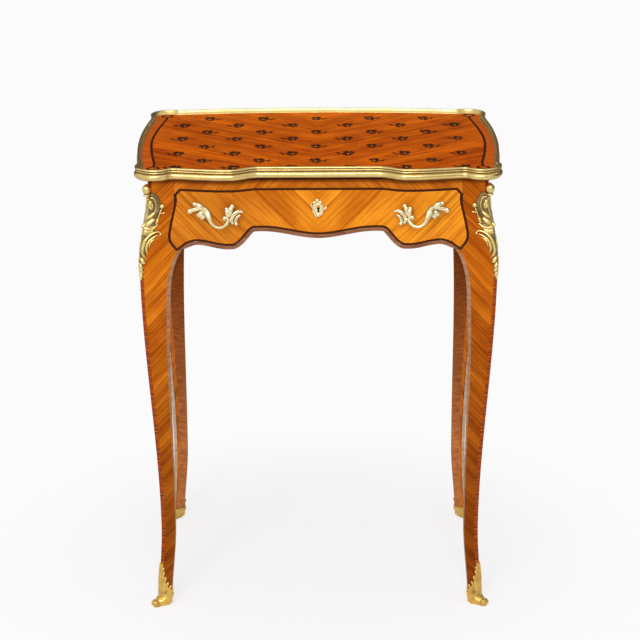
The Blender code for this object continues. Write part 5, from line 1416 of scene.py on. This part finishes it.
def toe_roll(shell, side_x, side_y):
    """The rolled toe: a waisted drum that lies across the diagonal, with a boss at each end."""
    along = np.linspace(-1.0, 1.0, 25)
    radius = 0.0053 + 0.0003 * np.cos(along * math.pi * 2)
    radius = radius * np.sqrt(np.clip(1.0 - np.abs(along) ** 10, 0.0, 1.0))
    boss = np.array([(0.0062, 0.0026), (0.0068, 0.0023), (0.0073, 0.0)])
    profile = np.vstack([boss[::-1] * (-1, 1), join(along * 0.0060, radius), boss])
    across, radius = profile[:, :1], profile[:, 1:]
    out, level = 0.0095 + radius * np.cos(turns(24)), 0.0058 + radius * np.sin(turns(24))
    x = ARRIS_X + (out + across) / math.sqrt(2.0)
    y = ARRIS_Y + (out - across) / math.sqrt(2.0)
    # Painted shade and grime in the grooves beside the bosses.
    hollow = (np.abs(np.abs(across) - 0.0061) < 0.0004) * 1.0
    shell.grid(join(side_x * x, side_y * y, level), 0, None, hollow, ring=True)


def drawer_surface(side, face):
    """Places a design, across and up the drawer front and out of it, mirrored for the left."""

    def place(points):
        x, z, out = np.moveaxis(points, -1, 0)
        return join(side * x, -face - out, z)

    return place


def handle_design():
    """A scroll pull as millimetres across, up and out: a stem between two posts, leaves and curls on both."""
    leaf = {"vein": 0.16, "rings": 32, "sides": 16, "under": 2.4}
    rib = {"vein": 0.30, "rings": 40, "sides": 16, "under": 2.2}
    seen = 0.34

    def form(points, width, height, **cut):
        """A form seen at its drawn height by an eye 19 degrees above, so what stands out is raised."""
        return relief([(x, z + seen * out, out) for x, z, out in points], width, height, **cut)

    def lobe(points, half):
        return form(points, half * ROUND_END, 0.85 * half * ROUND_END, **leaf)

    def knob(x, z, out, radius):
        return ball(x, z + seen * out, out, radius, 0.9)

    stem = [(176, 664.5, 8), (171, 662.5, 12.5), (167.4, 657, 17.5), (164.4, 650.2, 20.5), (161, 642.6, 22.5)]
    stem += [(156.2, 637.4, 23.2), (150.6, 635.3, 23), (144.8, 636.2, 21.5), (139.8, 640, 18), (136.8, 645.2, 14)]
    stem += [(137.6, 649.4, 10.5), (141, 651, 8.5)]
    scroll = [(115.6, 661, 7.5), (119.8, 661.4, 8.5), (124.8, 659, 9.5), (129.4, 654.2, 10), (131.4, 648, 9.5)]
    scroll += [(129.4, 642, 8.5)]
    forms = [
        form(stem, [5.6, 6.2, 5.8, 4.5, 3.1, 2.4, 2.1, 2.2, 2.5, 2.9, 2.9, 2.4],
             [4.2, 4.6, 4.6, 3.6, 2.7, 2.1, 2.0, 2.1, 2.3, 2.6, 2.6, 2.1], under=2.2, vein=0.10, rings=96, sides=18),
        lobe([(173, 664.5, 11), (179, 669.6, 11.5), (186.2, 673.4, 8.5)], 4.7),
        lobe([(174, 664, 11.5), (179.4, 667.4, 12), (183.6, 664.6, 11)], 4.2),
        lobe([(176, 663.6, 10), (185, 664.8, 10.5), (195.6, 662.2, 8)], 3.4),
        lobe([(172, 660, 11.5), (177.6, 657.4, 12), (183.4, 654.6, 9)], 4.6),
        lobe([(169.6, 658.4, 12), (174.4, 653.6, 11), (178.4, 650.6, 8)], 4.2),
        lobe([(136.5, 651, 9), (137.4, 658, 9.5), (138.6, 665.4, 8)], 3.9),
        lobe([(135.5, 652, 9), (133.2, 661, 9.5), (130.4, 670, 8)], 3.9),
        form(scroll, [2.0, 2.9, 3.3, 3.3, 3.0, 2.2], [2.0, 2.7, 3.0, 3.0, 2.7, 2.0], **rib),
        form([(118.4, 655.6, 7.5), (123.4, 651.6, 8.5), (125.4, 646.4, 9), (124.4, 641.8, 8.5)],
             [1.6, 2.5, 2.7, 2.3], [1.8, 2.4, 2.5, 2.1], **rib),
        form([(136.4, 646, 12), (132.8, 647.2, 11), (130.4, 649, 10)], [2.7, 2.8, 2.6], [2.4, 2.5, 2.2], **rib),
        knob(194.0, 662.2, 8, 4.5),
        knob(186.6, 673.2, 8, 3.7),
        knob(115.8, 661, 7.5, 2.3),
        knob(124.4, 641.8, 8.5, 3.2),
        knob(141.6, 650.4, 8.5, 4.6),
        knob(130.2, 669.2, 8, 4.1),
        knob(138.4, 664.8, 8, 3.7),
    ]
    post = [(0.0, 0.0), (4.6, 0.0), (4.4, 0.9), (3.6, 1.6), (3.2, 4.0), (3.4, 7.5), (0.0, 8.5)]
    return forms + [turned((x, z, 0.0), post) for x, z in ((131.0, 651.4), (174.0, 663.4))]


def make_handles(chosen, finishes):
    """Scroll pulls on the drawer front, the left one the mirror image of the right one."""
    forms = handle_design()
    for name, side in (("handle_left", -1), ("handle_right", 1)):
        shell = Shell()
        lay(shell, drawer_surface(side, HANDLE_FACE + GAP / 2), forms)
        shell.make(name + "_cast", "drawer", "gilt_brass", [finishes["pale_gilt"]], [name], sharp=CAST_ANGLE)


def by_angle(loop):
    """A plate's outline in order of angle about a point just over the lock's middle."""
    return loop[np.argsort(np.mod(np.arctan2(loop[:, 1] - 0.6, loop[:, 0]), 2 * math.pi))]


def make_escutcheon(chosen, finishes):
    """A leafy plate round the keyhole: rings from the keyhole's outline to a leafy edge, domed between."""
    count = 160
    leaves = [(8.4, 0.4), (7.2, 4.4), (6.2, 8.0), (4.6, 11.4), (1.4, 13.2), (-2.2, 14.6), (-5.2, 13.0), (-7.2, 9.6)]
    leaves += [(-8.2, 5), (-8.6, 0.4), (-8.2, -3.6), (-6.6, -8), (-3.6, -12), (0.6, -11.4), (4.2, -8.4), (6.6, -4.6)]
    outer = by_angle(even(spline(leaves + leaves[:1], 10), count + 1)[:-1])
    inner = by_angle(keyhole(count, 2.2, 2.6, 1.1, -4.8))
    share = np.array([0.0, 0.05, 0.18, 0.34, 0.52, 0.70, 0.86, 0.96, 1.0, 1.0, 0.5, 0.0])
    height = np.array([1.2, 1.9, 2.2, 2.0, 1.9, 1.9, 1.6, 1.0, 0.5, 0.1, 0.1, 0.1])
    plate = at_height(mix(inner[:, None], outer[:, None], share[None, :, None]), height) / MM
    lock = np.array([0.0, LOCK_HEIGHT, 0.0])
    surface = drawer_surface(1, ESCUTCHEON_FACE)
    shell = Shell()
    # Painted shade and grime: the plate is darker where it lies low between its forms.
    shell.grid(surface(plate + lock), 0, None, np.clip(0.9 - height / 2.2, 0, 1), ring=True, loop=True)
    # The fourth number is painted shade and grime; the thin band over the keyhole is painted dark.
    forms = reliefs([
        ([(-6.8, 8.6, 0.6), (-8, 4, 0.7), (-7.6, -1.6, 0.7), (-6, -6.6, 0.7), (-3, -12, 0.6)],
         [1.3, 1.7, 1.8, 1.7, 1.2], 2.6, 0.05),
        ([(5.6, 7, 0.6), (7, 3, 0.7), (6.6, -1.6, 0.7), (4.8, -6.2, 0.7), (0.6, -11.2, 0.6)],
         [1.3, 1.7, 1.8, 1.7, 1.1], 2.6, 0.05),
        ([(6.4, 1.2, 0.8), (9.4, 0.6, 0.8), (11.4, 2.4, 0.7)], [1.5, 1.6, 1.5], 2.3, 0.0),
        ([(-6.8, 2.4, 0.5), (-10.4, 4.6, 0.6), (-11, 8.6, 0.6), (-8.4, 11, 0.6)], [1.0, 1.3, 1.3, 1.0], 1.9, 0.3),
        ([(-4.4, 6.6, 0.9), (-1, 8.2, 1.0), (3.2, 6.8, 0.9)], [1.8, 2.6, 1.8], [2.4, 3.4, 2.4], 0.0),
        ([(-6.6, 9.8, 0.5), (-2, 10.4, 0.6), (4.2, 9.8, 0.5)], [0.9], 1.7, 0.9),
        ([(-3.4, -7.4, 0.6), (-1.6, -8.6, 0.6), (1.2, -7.6, 0.6)], [1.2, 1.7, 1.2], 2.0, 0.5),
    ])
    knobs = [(-2.0, 14.4, 1.2, 2.9), (-6.4, 11.2, 1.2, 2.5), (3.0, 11.2, 1.2, 2.6), (11.4, 2.8, 1.4, 2.2)]
    knobs += [(-3.0, -12, 0.9, 1.8), (-7.6, -3.4, 1.4, 2.1), (4.6, -7.0, 1.4, 2.1), (-5.6, -8.4, 1.2, 1.9)]
    forms += [ball(*knob) for knob in knobs]
    lay(shell, surface, [(points + lock, hollow) for points, hollow in forms])
    shell.make("escutcheon_cast", "drawer", "gilt_brass", [finishes["pale_gilt"]], ["escutcheon"], sharp=CAST_ANGLE)


def dress_solids(chosen, finishes):
    """The drawer box, what it runs on, and the lock keep their solids and get wood and metal finishes."""
    wide = ("drawer_back", "drawer_bottom")
    for name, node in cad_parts.items():
        if name.startswith("drawer_") and name != "drawer_front":
            finish = finishes["oak_wide" if name in wide else "oak_long"]
        elif name.startswith("lock_"):
            finish = finishes["lock_steel"]
        elif name.startswith("handle_nut"):
            finish = finishes["rim_brass"]
        else:
            continue
        for place in node.material_slots:
            place.material = finish


def make_lock_screws(chosen, finishes):
    """Four slotted screws that hold the lock case to the back of the drawer front."""
    low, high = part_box("lock_case")
    inset = 0.006
    shell = Shell()
    profile = [(0.0, -1.0), (2.3, -1.0), (2.3, 0.0), (1.8, 0.55), (0.35, 0.62), (0.30, 0.30), (0.0, 0.28)]
    points, hollow = turned((0, 0, 0), profile)
    for x in (low.x + inset, high.x - inset):
        for z in (low.z + inset, high.z - inset):
            shell.grid(points[..., [0, 2, 1]] + (x, high.y, z), 0, None, hollow, ring=True)
    shell.make("lock_screws", "drawer", "lock_steel", [finishes["lock_steel"]])


# Studio


def make_stage(chosen, finishes):
    """A pale floor, a soft key light from the left, a weak fill, a white surround and the camera."""
    scene, studio = bpy.context.scene, chosen.studio
    floor = stage_sheet("studio_floor", [(-14, -14, 0), (14, -14, 0), (14, 14, 0), (-14, 14, 0)])
    floor.data.materials.append(floor_finish(studio))
    make_flags()
    surround(scene, studio)
    for name, place, aim, size, power in (
        ("key_light", (-0.5, -3.2, 2.9), (0.0, 0.0, 0.55), 2.2, studio.key_power),
        ("fill_light", (2.8, -1.8, 1.6), (0.0, 0.0, 0.5), 1.6, studio.fill_power),
    ):
        lamp = bpy.data.lights.new(name, "AREA")
        lamp.energy, lamp.size = power, size
        made = bpy.data.objects.new(name, lamp)
        made.location = place
        x, y, z = np.subtract(aim, place)
        made.rotation_euler = (math.atan2(math.hypot(x, y), -z), 0.0, math.atan2(-x, y))
        scene.collection.objects.link(made)
    place_camera(scene, studio)
    scene.view_settings.view_transform = "Standard"


def floor_finish(studio):
    """Pale floor: shaded near the table, and paper white to the camera away from it."""
    finish = Finish("studio_floor")
    x, y, _ = finish.axes("Object")
    haze = finish.noise(finish.vector(x, y), 3.0)
    tone = finish.blend(haze, tuple(studio.floor_colour), dim(studio.floor_colour, 0.985))
    finish.shade(Base_Color=tone, Roughness=0.62, Specular_IOR_Level=0.1)
    seen = finish.node("ShaderNodeLightPath", None, None, "Is Camera Ray")
    away = (x * x + y * y).math("SQRT").step(0.15, 0.62)
    paper = finish.node("ShaderNodeEmission", None, {"Color": tuple(studio.backdrop), "Strength": 1.0})
    shaded = Value(finish, finish.shader.outputs[0])
    mixed = finish.node("ShaderNodeMixShader", None, {0: seen * (0.60 + away * 0.40), 1: shaded, 2: paper})
    finish.feed(finish.tree.nodes["Material Output"].inputs["Surface"], mixed)
    return finish.made


def stage_sheet(name, corners):
    """A flat sheet of the studio, through four corners."""
    mesh = bpy.data.meshes.new(name)
    mesh.from_pydata(corners, [], [(0, 1, 2, 3)])
    made = bpy.data.objects.new(name, mesh)
    bpy.context.scene.collection.objects.link(made)
    return made


def make_flags():
    """Dark cards round the studio that only reflections show, so that polished wood and metal have depth."""
    finish = Finish("studio_flag")
    x, _, z = finish.axes("Object")
    cloth = finish.noise(finish.vector(x, z), 40.0)
    dark = finish.blend(cloth, (0.10, 0.095, 0.09), (0.14, 0.13, 0.125))
    finish.shade(Base_Color=dark, Roughness=1.0, Specular_IOR_Level=0.0)
    cards = {
        "flag_back": [(-4.0, 3.0, 0.30), (4.0, 3.0, 0.30), (4.0, 3.0, 4.2), (-4.0, 3.0, 4.2)],
        "flag_front": [(-1.1, -5.6, 0.5), (3.2, -5.6, 0.5), (3.2, -5.6, 2.9), (-1.1, -5.6, 2.9)],
        "flag_right": [(3.4, -2.6, 0.2), (3.4, 3.0, 0.2), (3.4, 3.0, 3.0), (3.4, -2.6, 3.0)],
    }
    for name, corners in cards.items():
        card = stage_sheet(name, corners)
        card.data.materials.append(finish.made)
        card.visible_camera = card.visible_diffuse = card.visible_shadow = card.visible_transmission = False


def surround(scene, studio):
    """A white world to the camera and in reflections, and a softer one as light."""
    world = Finish("studio_world", bpy.data.worlds, "Background")
    rays = ("Is Camera Ray", "Is Transmission Ray", "Is Glossy Ray")
    camera, through, glossy = (world.node("ShaderNodeLightPath", None, None, ray) for ray in rays)
    shown = camera.math("MAXIMUM", through).math("MAXIMUM", glossy)
    level = world.node("ShaderNodeMapRange", None, {"Value": shown, "To Min": studio.ambient, "To Max": 1.0})
    scene.world = world.shade(Color=(1.0, 1.0, 1.0), Strength=level)


def place_camera(scene, studio):
    """The photograph's camera: level across, tipped down, turned a little about its own axis."""
    data = bpy.data.cameras.new("photo_camera")
    data.lens, data.sensor_width = studio.lens, 36.0
    data.clip_start, data.clip_end = 0.1, 100.0
    camera = bpy.data.objects.new("photo_camera", data)
    tip, roll = 0.3291012, -0.003836
    right, up = np.array([1.0, 0.0, 0.0]), np.array([0.0, math.sin(tip), math.cos(tip)])
    turn = np.eye(4)
    turn[:3, 0] = math.cos(roll) * right + math.sin(roll) * up
    turn[:3, 1] = math.cos(roll) * up - math.sin(roll) * right
    turn[:3, 2] = (0.0, -math.cos(tip), math.sin(tip))
    turn[:3, 3] = (0.0017453, -3.3134815, 1.5564433)
    camera.matrix_world = Matrix(turn.tolist())
    scene.collection.objects.link(camera)
    scene.camera = camera


# Add-on


def number(name, description, default, **kind):
    """A number that can be set, with its unit or subtype."""
    return bpy.props.FloatProperty(name=name, description=description, default=default, **kind)


def length(name, description, default):
    """A length that can be set."""
    return number(name, description, default, unit="LENGTH")


def colour(name, description, default):
    """A colour that can be set."""
    return bpy.props.FloatVectorProperty(
        name=name, description=description, default=default, size=3, subtype="COLOR", min=0.0, max=1.0
    )


class TableSizes(bpy.types.PropertyGroup):
    """Widths of the lines and bevels, and the size of the sprigs."""

    top_line: length("Top line", "Width of the dark line at each side of the top", 0.0041)
    drawer_line: length("Drawer line", "Width of the dark line round the drawer front", 0.0031)
    frieze_line: length("Frieze line", "Width of the dark line on the sides and back", 0.0036)
    bevel_height: length("Bevel height", "Height of the bevel on the lower edge", 0.0075)
    bevel_depth: length("Bevel depth", "Depth of the bevel on the lower edge", 0.0050)
    sprig_scale: number("Sprig size", "Size of the sprigs on the top", 1.24, subtype="FACTOR")


class TableColours(bpy.types.PropertyGroup):
    """Colours of the veneers, the lines and the gilding."""

    top_light: colour("Top, light", "Light streaks of the top's veneer", paint(236, 114, 4))
    top_dark: colour("Top, dark", "Dark streaks of the top's veneer", paint(160, 60, 1))
    frieze_light: colour("Frieze, light", "Light streaks of the frieze", paint(241, 153, 37))
    frieze_dark: colour("Frieze, dark", "Dark streaks of the frieze", paint(186, 95, 10))
    leg_light: colour("Legs, light", "Light streaks of the legs", paint(214, 121, 22))
    leg_dark: colour("Legs, dark", "Dark streaks of the legs", paint(158, 72, 6))
    edge_bevel: colour("Lower edge", "Bevel on the lower edge of the frieze", paint(174, 118, 86))
    # The two leg bevel colours are partly painted reflection: a pale highlight on the side bevel, a greyish sheen on
    # the front bevel.
    front_bevel: colour("Leg bevel, front", "Bevel beside a leg's front face", paint(182, 140, 108))
    side_bevel: colour("Leg bevel, side", "Bevel beside a leg's side face", paint(202, 176, 150))
    stringing: colour("Stringing", "Dark lines let into the veneer", paint(64, 31, 12))
    gilt_light: colour("Gilding, bright", "Bright gilding of the mounts", paint(236, 212, 142))
    gilt_deep: colour("Gilding, worn", "Worn gilding of the mounts", paint(176, 136, 60))


class StudioSettings(bpy.types.PropertyGroup):
    """Floor, light and lens."""

    floor_colour: colour("Floor", "Colour of the floor", (0.97, 0.97, 0.97))
    backdrop: colour("Backdrop", "Paper white behind the table", paint(252, 251, 252))
    ambient: number("Ambient", "Strength of the white surround as light", 0.60, subtype="FACTOR")
    key_power: number("Key", "Power of the key light", 101.0, unit="POWER")
    fill_power: number("Fill", "Power of the fill light", 5.0, unit="POWER")
    lens: number("Lens", "Focal length in millimetres", 120.85, subtype="DISTANCE_CAMERA")


class SideTable(bpy.types.PropertyGroup):
    """All settings of the side table."""

    sizes: bpy.props.PointerProperty(type=TableSizes, name="Sizes", description="Sizes of the dressing")
    colours: bpy.props.PointerProperty(type=TableColours, name="Colours", description="Colours of the finishes")
    studio: bpy.props.PointerProperty(type=StudioSettings, name="Studio", description="Floor, light and lens")


SHARED = {}


def dress(context, *makers):
    """Runs makers with the scene's settings and its finishes, which are set out once."""
    chosen = context.scene.side_table
    if "finishes" not in SHARED:
        SHARED["finishes"] = Finishes(chosen.colours)
    for maker in makers:
        maker(chosen, SHARED["finishes"])
    return {"FINISHED"}


class TABLE_OT_stage(bpy.types.Operator):
    """Make the floor, the lights and the camera"""

    bl_idname = "side_table.stage"
    bl_label = "Studio"

    def execute(self, context):
        return dress(context, make_stage)


class TABLE_OT_top(bpy.types.Operator):
    """Make the veneered top with its lines, rings and sprigs"""

    bl_idname = "side_table.top"
    bl_label = "Marquetry top"

    def execute(self, context):
        return dress(context, make_top)


class TABLE_OT_rim(bpy.types.Operator):
    """Make the brass rim round the top and its pins"""

    bl_idname = "side_table.rim"
    bl_label = "Brass rim"

    def execute(self, context):
        return dress(context, make_rim)


class TABLE_OT_frieze(bpy.types.Operator):
    """Make the aprons, their lines and the rail over the drawer"""

    bl_idname = "side_table.frieze"
    bl_label = "Frieze"

    def execute(self, context):
        return dress(context, make_frieze)


class TABLE_OT_legs(bpy.types.Operator):
    """Make the four veneered legs"""

    bl_idname = "side_table.legs"
    bl_label = "Legs"

    def execute(self, context):
        return dress(context, make_legs)


class TABLE_OT_chutes(bpy.types.Operator):
    """Make the gilt corner mounts on the knees"""

    bl_idname = "side_table.chutes"
    bl_label = "Corner mounts"

    def execute(self, context):
        return dress(context, make_chutes)


class TABLE_OT_sabots(bpy.types.Operator):
    """Make the gilt shoes of the legs"""

    bl_idname = "side_table.sabots"
    bl_label = "Shoes"

    def execute(self, context):
        return dress(context, make_sabots)


class TABLE_OT_drawer(bpy.types.Operator):
    """Make the drawer front and its dark line"""

    bl_idname = "side_table.drawer"
    bl_label = "Drawer front"

    def execute(self, context):
        return dress(context, make_drawer_front)


class TABLE_OT_drawer_mounts(bpy.types.Operator):
    """Make the two handles and the escutcheon"""

    bl_idname = "side_table.drawer_mounts"
    bl_label = "Drawer mounts"

    def execute(self, context):
        return dress(context, make_handles, make_escutcheon)


class TABLE_OT_inside(bpy.types.Operator):
    """Finish the drawer box, its runners and the lock"""

    bl_idname = "side_table.inside"
    bl_label = "Inside and lock"

    def execute(self, context):
        return dress(context, dress_solids, make_lock_screws)


OPERATORS = (
    TABLE_OT_stage,
    TABLE_OT_top,
    TABLE_OT_rim,
    TABLE_OT_frieze,
    TABLE_OT_legs,
    TABLE_OT_chutes,
    TABLE_OT_sabots,
    TABLE_OT_drawer,
    TABLE_OT_drawer_mounts,
    TABLE_OT_inside,
)


class TABLE_PT_panel(bpy.types.Panel):
    """Lists the steps that dress the table"""

    bl_idname = "TABLE_PT_panel"
    bl_label = "Side table"
    bl_space_type = "VIEW_3D"
    bl_region_type = "UI"
    bl_category = "Side table"

    def draw(self, context):
        for operator in OPERATORS:
            self.layout.operator(operator.bl_idname)
        for group in ("sizes", "colours", "studio"):
            box = self.layout.box()
            chosen = getattr(context.scene.side_table, group)
            for name in chosen.__annotations__:
                box.prop(chosen, name)


CLASSES = (TableSizes, TableColours, StudioSettings, SideTable, *OPERATORS, TABLE_PT_panel)


def register():
    for item in CLASSES:
        bpy.utils.register_class(item)
    bpy.types.Scene.side_table = bpy.props.PointerProperty(type=SideTable)


def unregister():
    del bpy.types.Scene.side_table
    for item in reversed(CLASSES):
        bpy.utils.unregister_class(item)


def main():
    register()
    for operator in OPERATORS:
        group, name = operator.bl_idname.split(".")
        getattr(getattr(bpy.ops, group), name)()


if __name__ == "__main__":
    main()
